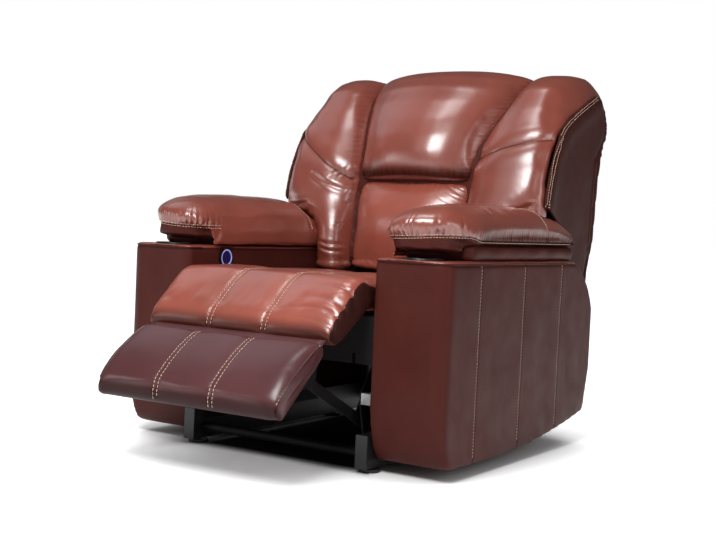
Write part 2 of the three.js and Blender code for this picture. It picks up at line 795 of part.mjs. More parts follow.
function mix(a, b, share) {
  return a.map((value, i) => lerp(value, b[i], share));
}

function buildWings() {
  const columnShares = [0, 0.04, 0.1, 0.18, 0.28, 0.4, 0.54, 0.68, 0.8, 0.89, 0.96, 1];
  const rowShares = evenShares(20);
  const seamHalf = backHalf - sidePanelThick - fitGap;
  const rimStep = cushionGap / 2;
  const place = (column, row, front) => {
    const inside = lerp(grooveHalf, valleyHalf, along(wingInnerShares, row)) + rimStep;
    const outside = lerp(lowerWingHalf, seamHalf, along(wingOuterShares, row)) - rimStep;
    const x = lerp(inside, outside, column);
    const crest = backRow(wingCrestShares, row);
    const valley = backRow(wingValleyShares, row);
    const seamLine = backRow(wingSeamShares, row);
    const backing = backRow(wingBackShares, row);
    if (front) {
      const towardValley = mix(crest, valley, edgePull(column, valleyPull));
      return [x, ...mix(towardValley, seamLine, edgePull(1 - column, seamPull))];
    }
    const deepValley = mix(valley, backing, valleyDeepShare);
    const deepSeam = mix(seamLine, backing, seamDeepShare);
    const towardValley = mix(backing, deepValley, edgePull(column, wingBackPull));
    return [x, ...mix(towardValley, deepSeam, edgePull(1 - column, wingBackPull))];
  };
  addPair('back_wing', padded(
    columnShares, rowShares, (c, r) => place(c, r, true), (c, r) => place(c, r, false),
  ), leather);
}

function buildPillowAndLumbar() {
  const columnShares = [0, 0.02, 0.06, 0.12, 0.2, 0.3, 0.42, 0.5, 0.58, 0.7, 0.8, 0.88, 0.94, 0.98, 1];
  const rimStep = cushionGap / 2;
  const surface = (crestTable, edgeTable, backTable, halfAt) => (column, row, front) => {
    const half = halfAt(row) - rimStep;
    const x = lerp(-half, half, column);
    const fromEdge = Math.min(column, 1 - column);
    const crest = backRow(crestTable, row);
    const edge = backRow(edgeTable, row);
    const backing = backRow(backTable, row);
    if (front) return [x, ...mix(crest, edge, edgePull(fromEdge, pillowPull))];
    const deepEdge = mix(edge, backing, pillowDeepShare);
    return [x, ...mix(backing, deepEdge, edgePull(fromEdge, pillowBackPull))];
  };
  const pillow = surface(pillowCrestShares, pillowEdgeShares, pillowBackShares, (row) => (
    lerp(grooveHalf, valleyHalf, along(pillowHalfShares, row))));
  add('head_pillow', padded(
    columnShares, evenShares(17), (c, r) => pillow(c, r, true), (c, r) => pillow(c, r, false),
  ), leather);
  const lumbar = surface(lumbarCrestShares, lumbarEdgeShares, lumbarBackShares, () => grooveHalf);
  add('lumbar_pad', padded(
    columnShares, evenShares(8), (c, r) => lumbar(c, r, true), (c, r) => lumbar(c, r, false),
  ), leather);
}

function buildBackPanels() {
  const reach = armArc + backArcGap;
  // Rear line of the back from the roll down to the hem
  const rearShares = [[0.893, 0.628], [0.875, 0.42], [0.85, 0.18], [0.815, 0], [0.782, -0.25]];
  const rear = rearShares.map(backPoint);
  const rearPanel = outline([
    ...rear, ...rear.map(([y, z]) => [y - rearPanelThick, z]).reverse(),
  ]);
  add('outside_back', extrudeX(rearPanel, -backHalf, backHalf), darkLeather);

  const seamPoints = evenShares(18).map((row) => backRow(wingSeamShares, row))
    .filter(([, z]) => z > sidePanelFrom);
  const behind = rear.map(([y, z]) => [y - rearPanelThick - fitGap, z]);
  const startAngle = Math.acos((behind.at(-1)[0] - recliner.y) / reach);
  const endAngle = Math.atan2(reach, padRear + cushionGap + cushionGap - recliner.y);
  const arc = evenShares(cornerFacets).map((share) => {
    const angle = lerp(startAngle, endAngle * arcEndShare, share);
    return [recliner.y + reach * Math.cos(angle), recliner.z + reach * Math.sin(angle)];
  });
  const bottomShares = [[0.405, 0.17], [0.36, 0.235], [0.26, 0.285]];
  const side = outline([
    ...seamPoints.map(([y, z]) => [y + cushionGap, z]), ...behind.slice(0, -1), ...arc,
    ...bottomShares.map(backPoint),
  ]);
  addPair('back_side', extrudeX(side, backHalf - sidePanelThick, backHalf - fitGap), darkLeather);
}

function buildBackFrame() {
  const backLine = wingBackShares.slice(0, deckPoints).map(backPoint);
  const deck = outline([
    ...backLine.map(([y, z]) => [y + deckGap, z]),
    ...backLine.map(([y, z]) => [y + deckGap + deckThick, z]).reverse(),
  ]);
  add('back_deck', extrudeX(deck, -lowerWingHalf, lowerWingHalf), board);

  const [lowY, lowZ] = backLine[0];
  const [highY, highZ] = backLine.at(-1);
  const lean = (highY - lowY) / (highZ - lowZ);
  const off = deckGap + deckThick + fitGap + cushionGap;
  const frontAt = (z) => lowY + lean * (z - lowZ) + off;
  const postOuter = liftOuter - plateThick - fitGap;
  const post = outline([
    [frontAt(postFoot), postFoot], [frontAt(postFoot) + postDepth, postFoot],
    [frontAt(postTop) + postDepth, postTop], [frontAt(postTop), postTop],
  ]);
  addPair('back_post', extrudeX(post, postOuter - postThick, postOuter), board);

  const sideReach = backHalf - sidePanelThick - fitGap;
  const low = postTop - backRailHeight;
  const lowFront = frontAt(low) + postDepth + fitGap;
  const highFront = frontAt(postTop) + postDepth + fitGap;
  const rail = outline([
    [lowFront, low], [lowFront + backRailDepth, low], [highFront + backRailDepth, postTop],
    [highFront, postTop],
  ]);
  add('back_top_rail', extrudeX(rail, -sideReach, sideReach), board);

  const plate = outline([
    [frontAt(postFoot), postFoot], [frontAt(postFoot) + postDepth + linkWidth, postFoot],
    [frontAt(recliner.z) + postDepth + linkWidth, recliner.z],
    [frontAt(postFoot + bracketPlateHeight) + postDepth, postFoot + bracketPlateHeight],
    [frontAt(postFoot + bracketPlateHeight), postFoot + bracketPlateHeight],
  ]);
  const inner = liftOuter - plateThick;
  const hole = rodX(
    pinRadius + pinRunning, inner - cutOverrun, liftOuter + cutOverrun, recliner.y, recliner.z,
  );
  addPair('hinge_bracket', subtract(extrudeX(plate, inner, liftOuter), hole), blackSteel);
}

function buildReclinePins() {
  const outer = plateOuter + fitGap;
  const pin = join(
    rodX(pinRadius, liftOuter - plateThick + fitGap, outer, recliner.y, recliner.z),
    rodX(pinHeadRadius, outer, outer + pinHeadThick, recliner.y, recliner.z),
  );
  addPair('recline_pin', pin, zinc);
}

function buildBase() {
  const outer = innerFace - fitGap;
  addPair('base_rail', block(railInner, outer, railFront, railRear, railBottom, railTop), blackPlastic);
  add('front_tube', rodX(
    tubeRadius, -railInner + fitGap, railInner - fitGap, frontTubeAt, tubeHeight,
  ), blackSteel);
  for (const [name, y] of [['front_glide', frontTubeAt], ['rear_glide', rearGlideAt]]) {
    const x = railInner + glideInset;
    addPair(name, join(
      rodZ(glideRadius, 0, glideHeight, x, y, roundFacets),
      rodZ(glideStemRadius, glideHeight / 2, railBottom - fitGap, x, y),
    ), blackPlastic);
  }
  const plate = outline([
    [zincAt - fitGap, zincBottom - linkThick], [zincAt - fitGap, zincBottom + zincHeight],
    [guidePivot.y - linkWidth, plateTop], [recliner.y + linkWidth, plateTop],
    [recliner.y + linkWidth, recliner.z - linkWidth], [seatFrameEnd, plateBottom + railTop],
    [seatFrameEnd, plateBottom], [frontTubeAt, plateBottom],
  ]);
  const hole = rodX(
    pinRadius + fitGap, plateOuter - plateThick - cutOverrun, plateOuter + cutOverrun,
    recliner.y, recliner.z,
  );
  addPair('side_plate', subtract(extrudeX(plate, plateOuter - plateThick, plateOuter), hole), blackSteel);
  addPair('arm_bracket', block(
    railInner, outer, zincAt, zincAt + zincDepth, zincBottom, zincBottom + zincHeight,
  ), zinc);
}

function buildSeatFrame() {
  const outer = innerFace - fitGap;
  const railLow = plateTop + fitGap;
  const railHigh = railLow + seatRailHeight;
  const sideStart = frontRailAt + frontRailThick + fitGap;
  const sideRail = block(outer - seatRailWidth, outer, sideStart, seatFrameEnd, railLow, railHigh);
  addPair('seat_side_rail', sideRail, board);
  const frontRail = block(
    -outer, outer, frontRailAt, frontRailAt + frontRailThick, frontRailBottom, frontRailTop,
  );
  // The guide links pass through a notch on each side when the footrest is out
  const notch = block(
    guideOuter - linkThick - runningGap, guideOuter + runningGap,
    frontRailAt - cutOverrun, frontRailAt + frontRailThick + cutOverrun,
    frontRailBottom - cutOverrun, frontRailBottom + linkNotchHeight,
  );
  add('seat_front_rail', subtract(frontRail, notch, mirrorX(notch)), darkLeather);
  add('seat_deck', block(
    -seatHalf, seatHalf, sideStart, seatFrameEnd, railHigh + fitGap, railHigh + fitGap + seatDeckThick,
  ), webbing);
  add('rear_apron', block(-outer, outer, apronAt, apronAt + apronThick, apronBottom, apronTop), darkLeather);
}

function flatLink(from, to, outer) {
  return extrudeX(linkShape(from, to, linkWidth), outer - linkThick, outer);
}

function boss(pivot, x0, x1) {
  return rodX(bossRadius, x0, x1, pivot.y, pivot.z);
}

function buildLinks() {
  const plateInner = plateOuter - plateThick;
  const lift = join(
    flatLink(liftPivot, kneePivot, liftOuter),
    boss(liftPivot, liftOuter - linkThick / 2, plateInner - fitGap),
    boss(kneePivot, reachOuter + fitGap, liftOuter - linkThick / 2),
  );
  addPair('lift_link', lift, blackSteel);
  const reach = join(
    flatLink(kneePivot, bracketPivot, reachOuter),
    boss(bracketPivot, reachOuter - linkThick / 2, liftOuter - linkThick - fitGap),
  );
  addPair('reach_link', reach, blackSteel);
  const guideEnd = {
    y: lerp(kneePivot.y, bracketPivot.y, guideShare), z: lerp(kneePivot.z, bracketPivot.z, guideShare),
  };
  const guide = join(
    flatLink(guidePivot, guideEnd, guideOuter),
    boss(guidePivot, guideOuter - linkThick / 2, plateInner - fitGap),
    boss(guideEnd, guideOuter - linkThick / 2, reachOuter - linkThick - fitGap),
  );
  addPair('guide_link', guide, blackSteel);

  // Torque tube between the lift links, with the crank that the drive rod pushes
  const tubeEnd = liftOuter - linkThick - fitGap;
  const crankEnd = { y: liftPivot.y, z: liftPivot.z - crankSlotLong };
  const slotStart = { y: liftPivot.y, z: liftPivot.z - crankSlotShort };
  const slot = linkShape(slotStart, crankEnd, crankSlotWidth);
  const tube = join(
    rodX(tubeRadius, -tubeEnd, tubeEnd, liftPivot.y, liftPivot.z),
    subtract(
      extrudeX(linkShape(liftPivot, crankEnd, crankWidth), -crankThick / 2, crankThick / 2),
      extrudeX(slot, -crankThick, crankThick),
    ),
  );
  add('torque_tube', tube, blackSteel);
}

function buildDrive() {
  const rodHeight = liftPivot.z - crankLength;
  const gapHalf = crankThick / 2 + runningGap;
  const forkHalf = clevisWidth / 2;
  const forkEnd = liftPivot.y + clevisLength;
  const fork = (x0, x1) => block(
    x0, x1, liftPivot.y - bossRadius, forkEnd, rodHeight - bossRadius, rodHeight + bossRadius,
  );
  const clevisBack = block(
    -forkHalf, forkHalf, forkEnd - clevisWall, forkEnd, rodHeight - bossRadius, rodHeight + bossRadius,
  );
  const rod = join(
    fork(-forkHalf, -gapHalf), fork(gapHalf, forkHalf), clevisBack,
    rodX(rodPinRadius, -forkHalf, forkHalf, liftPivot.y, rodHeight),
    rodY(rodRadius, forkEnd - clevisWall / 2, rodRear, 0, rodHeight),
  );
  add('drive_rod', rod, zinc);
  const motorY = actuatorRear - motorRadius - cutOverrun;
  const boreEnd = actuatorRear - actuatorEndWall;
  const housing = subtract(
    join(
      rodY(actuatorRadius, actuatorFront + actuatorNose, actuatorRear - fitGap, 0, rodHeight, roundFacets),
      rodZ(motorRadius, rodHeight - motorLength, rodHeight, 0, motorY, roundFacets),
    ),
    rodY(rodRadius + pinRunning, actuatorFront - cutOverrun, boreEnd, 0, rodHeight),
  );
  add('actuator', housing, blackPlastic);
  const plateInner = plateOuter - plateThick - fitGap;
  add('motor_tube', block(
    -plateInner, plateInner, actuatorRear, actuatorRear + motorTubeSize,
    rodHeight - motorTubeSize / 2, rodHeight + motorTubeSize / 2,
  ), blackSteel);

  const inletY = actuatorRear + motorTubeSize + fitGap;
  const inletX = plateInner / 2;
  const inletZ = rodHeight - motorTubeSize / 2;
  add('power_inlet', subtract(
    block(inletX, inletX + inletWidth, inletY, inletY + inletDepth, inletZ, inletZ + inletHeight),
    block(
      inletX + (inletWidth - inletSlotWidth) / 2, inletX + (inletWidth + inletSlotWidth) / 2,
      inletY + inletDepth - inletSlotDepth, inletY + inletDepth + cutOverrun,
      inletZ + (inletHeight - inletSlotHeight) / 2, inletZ + (inletHeight + inletSlotHeight) / 2,
    ),
  ), blackPlastic);
}

buildArms();
buildArmPads();
buildSwitch();
buildSeat();
buildChaise();
buildFootrest();
buildWings();
buildPillowAndLumbar();
buildBackPanels();
buildBackFrame();
buildReclinePins();
buildBase();
buildSeatFrame();
buildLinks();
buildDrive();

// The origin is the middle of the footprint, on the floor
const bounds = new THREE.Box3().setFromObject(group);
group.position.y = -lerp(bounds.min.y, bounds.max.y, 1 / 2);

export default group;
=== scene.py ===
import json
import math

import bmesh
import bpy
import numpy as np
from mathutils import Matrix, Vector
from mathutils.bvhtree import BVHTree


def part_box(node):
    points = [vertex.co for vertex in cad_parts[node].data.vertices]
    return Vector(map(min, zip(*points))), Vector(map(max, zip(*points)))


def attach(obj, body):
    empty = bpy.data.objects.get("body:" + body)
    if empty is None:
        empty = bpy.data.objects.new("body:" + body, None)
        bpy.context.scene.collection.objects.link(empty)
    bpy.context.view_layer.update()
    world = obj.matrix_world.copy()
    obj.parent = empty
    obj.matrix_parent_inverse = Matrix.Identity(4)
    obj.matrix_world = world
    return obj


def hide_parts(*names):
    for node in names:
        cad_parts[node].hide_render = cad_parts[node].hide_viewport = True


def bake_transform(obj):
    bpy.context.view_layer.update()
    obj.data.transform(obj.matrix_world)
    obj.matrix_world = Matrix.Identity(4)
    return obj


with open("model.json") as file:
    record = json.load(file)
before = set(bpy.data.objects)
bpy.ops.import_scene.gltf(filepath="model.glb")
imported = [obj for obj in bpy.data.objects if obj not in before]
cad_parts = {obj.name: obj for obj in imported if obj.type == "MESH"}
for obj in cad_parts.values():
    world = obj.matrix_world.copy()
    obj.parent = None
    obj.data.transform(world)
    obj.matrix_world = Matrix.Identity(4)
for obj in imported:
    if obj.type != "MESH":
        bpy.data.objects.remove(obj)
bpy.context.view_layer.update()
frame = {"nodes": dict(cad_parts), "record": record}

NODES = frame["nodes"]
SCENE = bpy.context.scene
MM = 0.001

# Seat sizes are written in millimetres, with Y measured from the front of the arms
RAIL_FRONT = 20
Y_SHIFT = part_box("base_rail_r")[0].y - RAIL_FRONT * MM
ARM_INNER = 292
ARM_OUTER = 500
CHANNEL_AT = 84
HINGE = (-10, 440)
CREASE = (-155, 338)
FOOT_END = (-339, 176)


def here(x, y, z):
    """Row-frame point of a place in the seat's own millimetres."""
    return Vector((x * MM, y * MM + Y_SHIFT, z * MM))


def local(points):
    """Row-frame metres to the seat's own millimetres."""
    out = np.array(points, float) / MM
    out[:, 1] -= Y_SHIFT / MM
    return out


# Mesh tools


def link(name, data):
    obj = bpy.data.objects.new(name, data)
    SCENE.collection.objects.link(obj)
    return obj


def mesh_from(name, verts, faces):
    mesh = bpy.data.meshes.new(name)
    mesh.from_pydata([tuple(v) for v in verts], [], [tuple(f) for f in faces])
    mesh.validate()
    mesh.update()
    return mesh


def tube_faces(rings, sides, base=0):
    """Faces of a closed tube: the walls between its rings of points, and its two ends."""
    faces = []
    last = base + (rings - 1) * sides
    for start in range(base, last, sides):
        for k in range(sides):
            a, b = start + k, start + (k + 1) % sides
            faces.append((a, b, b + sides, a + sides))
    return faces + [range(base + sides - 1, base - 1, -1), range(last, last + sides)]


def ring(centre, across, up, radius, sides):
    angles = [2 * math.pi * k / sides for k in range(sides)]
    return [centre + (across * math.cos(a) + up * math.sin(a)) * radius for a in angles]


def prism(outline, y0, y1):
    """Closed block with an (X, Z) outline between two places in Y."""
    verts = [here(x, y, z) for y in (y0, y1) for x, z in outline]
    return mesh_from("prism", verts, tube_faces(2, len(outline)))


def read(items, key):
    """One place or direction of every vertex or face, as rows of three."""
    out = np.empty(len(items) * 3)
    items.foreach_get(key, out)
    return out.reshape(-1, 3)


def coords(mesh):
    return read(mesh.vertices, "co")


def set_coords(mesh, points):
    mesh.vertices.foreach_set("co", np.asarray(points, float).ravel())
    mesh.update()


def normals(mesh):
    return read(mesh.vertex_normals, "vector")


def smooth_shade(mesh):
    mesh.polygons.foreach_set("use_smooth", np.ones(len(mesh.polygons), bool))


def evaluated(obj):
    """Replaces the object's mesh by what its modifiers make of it."""
    graph = bpy.context.evaluated_depsgraph_get()
    mesh = bpy.data.meshes.new_from_object(obj.evaluated_get(graph))
    obj.modifiers.clear()
    obj.data = mesh
    return obj


def joined_mesh(nodes, extra=()):
    made = bmesh.new()
    for node in nodes:
        made.from_mesh(NODES[node].data)
    for mesh in extra:
        made.from_mesh(mesh)
    bmesh.ops.remove_doubles(made, verts=made.verts, dist=1e-6)
    mesh = bpy.data.meshes.new("joined")
    made.to_mesh(mesh)
    made.free()
    mesh.materials.clear()
    return mesh


def relax(mesh, rounds, share=0.5):
    """Laplacian smoothing."""
    edges = np.empty(len(mesh.edges) * 2, int)
    mesh.edges.foreach_get("vertices", edges)
    a, b = edges.reshape(-1, 2).T
    points = coords(mesh)
    count = np.bincount(a, minlength=len(points)) + np.bincount(b, minlength=len(points))
    for _ in range(rounds):
        total = np.stack([
            np.bincount(a, points[b, k], len(points)) + np.bincount(b, points[a, k], len(points))
            for k in range(3)
        ], axis=1)
        points += (total / np.maximum(count, 1)[:, None] - points) * share
    set_coords(mesh, points)


def remesh(obj, voxel):
    mod = obj.modifiers.new("Remesh", "REMESH")
    mod.mode = "VOXEL"
    mod.voxel_size = voxel
    return evaluated(obj)


def subdivide(obj):
    mod = obj.modifiers.new("Subdivision", "SUBSURF")
    mod.levels = mod.render_levels = 1
    return evaluated(obj)


# Patterns along seams


def hashed(number, seed):
    """A repeatable value from 0 to 1 for each whole number."""
    value = np.sin(np.asarray(number, float) * 127.1 + seed * 311.7) * 43758.5453
    return value - np.floor(value)


def wander(t, seed):
    """Smooth uneven wave from -1 to 1."""
    return (
        np.sin(t * 1.0 + seed) + 0.6 * np.sin(t * 2.3 + seed * 1.7) + 0.4 * np.sin(t * 4.1 + seed * 2.9)
    ) / 2


def gathers(along, away, pitch, reach, seed, sharp=0.2):
    """Narrow folds across a seam: 1 in a fold at the seam, 0 between folds and beyond their reach."""
    phase = along / pitch + 0.32 * wander(along / pitch * 0.9, seed)
    number = np.round(phase)
    size = 0.3 + 0.7 * hashed(number, seed)
    length = reach * (0.45 + 0.75 * hashed(number, seed + 5))
    return size * np.exp(-(((phase - number) / sharp) ** 2)) * np.exp(-((np.maximum(away, 0) / length) ** 2))


def groove(distance, width):
    return np.exp(-((distance / width) ** 2))


def step(value, low, high):
    t = np.clip((value - low) / (high - low), 0, 1)
    return t * t * (3 - 2 * t)


def along_line(y, z, a, b):
    """Place along the line through a and b, from a, in a side view."""
    dy, dz = b[0] - a[0], b[1] - a[1]
    return ((y - a[0]) * dy + (z - a[1]) * dz) / math.hypot(dy, dz)


def low_waves(p, size, seed):
    """Slow unevenness of stuffed leather, from about -1 to 1."""
    x, y, z = (p / size).T
    return (
        np.sin(x * 1.3 + y * 0.7 + seed) * np.cos(z * 1.1 - y * 0.6 + seed * 2)
        + 0.6 * np.sin(x * 2.7 - z * 1.9 + y * 2.2 + seed * 3)
    ) / 1.6


# Soft pieces: copy the solid, remesh it, let it swell as cloth, then add seams and folds, with painted shade
# in them

VOXEL = 0.006
SWELL_FRAMES = 20
SLIDE_SHARE = 0.3
SLIDE_CAP = 0.002
CLOTH = {
    "quality": 4, "mass": 0.3, "tension_stiffness": 12, "compression_stiffness": 12,
    "shear_stiffness": 4, "bending_stiffness": 1.5, "use_pressure": True, "shrink_min": -0.02,
    "vertex_group_mass": "held",
}
soft = {}


def start_soft(
    name, nodes, body, material, voxel=VOXEL, shrink=4, cap=9, pins=None, extra=(), rounds=8,
    pressure=4.0, wide=0,
):
    """Remeshes the solids of a cover, then moves it in by shrink and its sides out by wide."""
    obj = link(name, joined_mesh(nodes, extra))
    remesh(obj, voxel)
    relax(obj.data, rounds)
    points = coords(obj.data)
    pinned = np.zeros(len(points)) if pins is None else pins(local(points))
    facing = normals(obj.data)
    sides = (1 - step(-facing[:, 1], 0.35, 0.85)) * wide
    sides *= 1 - 0.15 * step(np.abs(local(points)[:, 0]), 400, 430)
    set_coords(obj.data, points + facing * ((sides - shrink) * MM * (1 - pinned))[:, None])
    soft[name] = {
        "obj": obj, "nodes": nodes, "body": body, "material": material, "cap": cap * MM,
        "pinned": pinned, "pressure": pressure,
    }


def swell():
    """Runs every soft piece's cloth over the same frames and keeps what swells out, up to its cap."""
    pieces = [piece for piece in soft.values() if piece["pressure"] > 0]
    for piece in pieces:
        obj = piece["obj"]
        piece["start"], piece["out"] = coords(obj.data), normals(obj.data)
        group = obj.vertex_groups.new(name="held")
        for i in np.flatnonzero(piece["pinned"] > 0.02):
            group.add([int(i)], float(piece["pinned"][i]), "REPLACE")
        mod = obj.modifiers.new("Cloth", "CLOTH")
        cloth = mod.settings
        for key, value in CLOTH.items():
            setattr(cloth, key, value)
        cloth.uniform_pressure_force = piece["pressure"]
        cloth.effector_weights.gravity = 0
        mod.collision_settings.use_collision = False
        mod.point_cache.frame_start, mod.point_cache.frame_end = 1, SWELL_FRAMES
    for number in range(1, SWELL_FRAMES + 1):
        SCENE.frame_set(number)
    graph = bpy.context.evaluated_depsgraph_get()
    for piece in pieces:
        obj = piece["obj"]
        mesh = bpy.data.meshes.new_from_object(obj.evaluated_get(graph))
        moved = coords(mesh) - piece["start"]
        rise = (moved * piece["out"]).sum(axis=1)[:, None]
        slide = (moved - rise * piece["out"]) * SLIDE_SHARE
        length = np.linalg.norm(slide, axis=1)[:, None]
        slide *= np.minimum(1, SLIDE_CAP / np.maximum(length, 1e-9))
        obj.modifiers.clear()
        obj.vertex_groups.clear()
        set_coords(obj.data, piece["start"] + slide + np.clip(rise, -0.001, piece["cap"]) * piece["out"])
    SCENE.frame_set(1)


def finish_soft(name, detail, settle=2):
    """Subdivides, pushes the surface by detail(points, normals) and hangs the piece on its body, or fixes it
    in place where it has more than one.
    """
    piece = soft[name]
    obj = piece["obj"]
    relax(obj.data, settle)
    subdivide(obj)
    mesh = obj.data
    points, facing = coords(mesh), normals(mesh)
    push, shade = detail(local(points), facing)
    set_coords(mesh, points + facing * (push * MM)[:, None])
    relax(mesh, 1, 0.35)
    # The detail's second value is painted shade in folds, seams and tucked places, kept on the mesh for the
    # leather
    layer = mesh.attributes.new("painted_shade", "FLOAT", "POINT")
    layer.data.foreach_set("value", np.clip(shade, 0, 1).astype(np.float32))
    mesh.materials.clear()
    mesh.materials.append(piece["material"])
    smooth_shade(mesh)
    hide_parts(*piece["nodes"])
    if isinstance(piece["body"], str):
        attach(obj, piece["body"])
    else:
        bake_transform(obj)
    return obj


# Materials


def nodes_of(name, **inputs):
    material = bpy.data.materials.new(name)
    material.use_nodes = True
    tree = material.node_tree
    shader = tree.nodes["Principled BSDF"]
    for key, value in inputs.items():
        shader.inputs[key.replace("_", " ")].default_value = value
    return material, tree, shader


def node(tree, kind, inputs=None, **settings):
    made = tree.nodes.new(kind)
    for key, value in settings.items():
        setattr(made, key, value)
    for key, value in (inputs or {}).items():
        if isinstance(value, bpy.types.NodeSocket):
            tree.links.new(value, made.inputs[key])
        else:
            made.inputs[key].default_value = value
    return made


def ramp(tree, source, stops):
    made = node(tree, "ShaderNodeValToRGB", {"Fac": source})
    elements = made.color_ramp.elements
    while len(elements) < len(stops):
        elements.new(0.5)
    for element, (place, color) in zip(elements, stops):
        element.position = place
        element.color = (*color, 1) if len(color) == 3 else color
    return made.outputs["Color"]


def grey(value):
    return (value, value, value)


def toned(base, share):
    return tuple(min(1, c * share) for c in base)


def noise(tree, place, scale, detail, roughness=0.5, distortion=0.0):
    return node(tree, "ShaderNodeTexNoise", {
        "Vector": place, "Scale": scale, "Detail": detail, "Roughness": roughness,
        "Distortion": distortion,
    }).outputs["Fac"]


def mixed(tree, factor, first, second):
    return node(tree, "ShaderNodeMix", {
        "Factor": factor, "A": first, "B": (*second, 1),
    }, data_type="RGBA").outputs["Result"]


def bumped(tree, height, strength, distance, **under):
    return node(tree, "ShaderNodeBump", {
        "Height": height, "Strength": strength, "Distance": distance, **under,
    }).outputs["Normal"]


def ranged(tree, value, start=0.0, end=1.0, low=0.0, high=1.0, curve="LINEAR"):
    """What goes from low to high while the value goes from start to end."""
    return node(tree, "ShaderNodeMapRange", {
        "Value": value, "From Min": start, "From Max": end, "To Min": low, "To Max": high,
    }, interpolation_type=curve).outputs["Result"]


def leather(name, base, painted_shade, rough=(0.3, 0.42), coat=0.9, shine=0.2, grain=0.14, clear=1.9):
    """Coated cowhide: slow colour drift, painted shade in folds and tucked places, pebbled grain and faint
    stretch marks.
    """
    material, tree, shader = nodes_of(name, Coat_Roughness=0.31, Coat_IOR=clear)
    place = node(tree, "ShaderNodeTexCoord").outputs["Object"]
    dark = toned(base, 0.84)
    color = ramp(tree, noise(tree, place, 5, 4, 0.6), [(0.3, dark), (0.5, base), (0.72, toned(base, 1.16))])
    spots = ramp(tree, noise(tree, place, 60, 5, 0.7), [(0.35, grey(0.18)), (0.65, grey(0.0))])
    # The mask of painted shade darkens the colour towards a painted shade colour and dulls the coat and
    # specular level there
    folds = node(tree, "ShaderNodeAttribute", attribute_name="painted_shade").outputs["Fac"]
    color = mixed(tree, folds, mixed(tree, spots, color, dark), painted_shade)
    tree.links.new(color, shader.inputs["Base Color"])
    for socket, level in (("Coat Weight", coat), ("Specular IOR Level", shine)):
        tree.links.new(ranged(tree, folds, low=level, high=0.05 * level), shader.inputs[socket])
    polish = ramp(tree, noise(tree, place, 14, 3), [(0.3, grey(rough[0])), (0.7, grey(rough[1]))])
    tree.links.new(polish, shader.inputs["Roughness"])
    cells = node(tree, "ShaderNodeTexVoronoi", {"Vector": place, "Scale": 520}, feature="SMOOTH_F1")
    relief = bumped(tree, cells.outputs["Distance"], grain, 0.0009)
    relief = bumped(tree, noise(tree, place, 260, 6, 0.65), grain, 0.0008, Normal=relief)
    relief = bumped(tree, noise(tree, place, 26, 4, distortion=1.2), 0.1, 0.004, Normal=relief)
    tree.links.new(relief, shader.inputs["Normal"])
    return material


def plain(name, base, rough, metal=0.0, variation=0.12, scale=90, bump=0.05, stretch=(1, 1, 1), **more):
    """Painted, plated, moulded or sawn surface with uneven tone, gloss and a fine relief."""
    material, tree, shader = nodes_of(name, Metallic=metal, **more)
    place = node(tree, "ShaderNodeTexCoord").outputs["Object"]
    mapped = node(tree, "ShaderNodeMapping", {"Vector": place, "Scale": stretch}).outputs["Vector"]
    tone = noise(tree, mapped, scale, 6)
    tones = [(0.3, toned(base, 1 - variation)), (0.7, toned(base, 1 + variation))]
    tree.links.new(ramp(tree, tone, tones), shader.inputs["Base Color"])
    gloss = [(0.3, grey(rough * 0.85)), (0.7, grey(min(1, rough * 1.15)))]
    tree.links.new(ramp(tree, tone, gloss), shader.inputs["Roughness"])
    relief = bumped(tree, noise(tree, mapped, scale * 8, 4), bump, 0.0005)
    tree.links.new(relief, shader.inputs["Normal"])
    return material


HIDE = leather("hide", (0.22, 0.047, 0.029), (0.045, 0.01, 0.007))
# The same hide painted lighter: a painted lit tone on the seat cover and the lumbar roll
HIDE_LIT = leather("hide_bright", (0.3, 0.068, 0.042), (0.05, 0.012, 0.009))
# A duller leather match for the arms, whose dark tone is partly painted shade on their sides
HIDE_DARK = leather(
    "hide_dark", (0.066, 0.014, 0.0105), (0.017, 0.005, 0.004), rough=(0.4, 0.52), coat=0.0, shine=0.1,
)
# The hide painted darker and purplish on the footrest; its darkness is painted shade
HIDE_FOOT = leather(
    "hide_foot", (0.09, 0.03, 0.032), (0.024, 0.008, 0.008), coat=0.4, shine=0.1, clear=1.7,
)
# Darker again on the back's side panels and rear, partly painted shade
HIDE_SIDE = leather(
    "hide_side", (0.05, 0.0125, 0.0095), (0.013, 0.004, 0.003), rough=(0.42, 0.54), coat=0.0, shine=0.09,
)
# The hide painted near-black: painted shade on the seat's sides
HIDE_SHADED = leather(
    "hide_deep", (0.035, 0.008, 0.006), (0.02, 0.006, 0.004), rough=(0.45, 0.6), coat=0.0,
)
THREAD = plain("thread", (0.66, 0.46, 0.35), 0.7, variation=0.2, scale=400, bump=0.4)
BLACK_STEEL = plain(
    "black_steel", (0.004, 0.004, 0.0045), 0.5, variation=0.25, bump=0.12, Specular_IOR_Level=0.15,
)
ZINC = plain("zinc", (0.4, 0.4, 0.39), 0.42, metal=1.0, variation=0.15, scale=70, bump=0.08)
WOOD = plain("plywood", (0.42, 0.29, 0.17), 0.7, variation=0.25, scale=30, bump=0.3, stretch=(1, 6, 6))
WEBBING = plain(
    "webbing", (0.011, 0.01, 0.01), 0.85, variation=0.4, scale=160, bump=0.5, Specular_IOR_Level=0.12,
)
PLASTIC = plain("black_plastic", (0.007, 0.007, 0.0075), 0.4, variation=0.2, scale=120, bump=0.08)


def glow(name, base, strength):
    material, tree, shader = nodes_of(name, Roughness=0.3)
    place = node(tree, "ShaderNodeTexCoord").outputs["Object"]
    color = ramp(tree, noise(tree, place, 120, 2), [(0.3, toned(base, 0.9)), (0.7, base)])
    tree.links.new(color, shader.inputs["Base Color"])
    tree.links.new(color, shader.inputs["Emission Color"])
    shader.inputs["Emission Strength"].default_value = strength
    return material


RING_LIGHT = glow("ring_light", (0.3, 0.36, 0.72), 0.55)
BUTTON_BLUE = glow("button_blue", (0.001, 0.002, 0.03), 1.0)

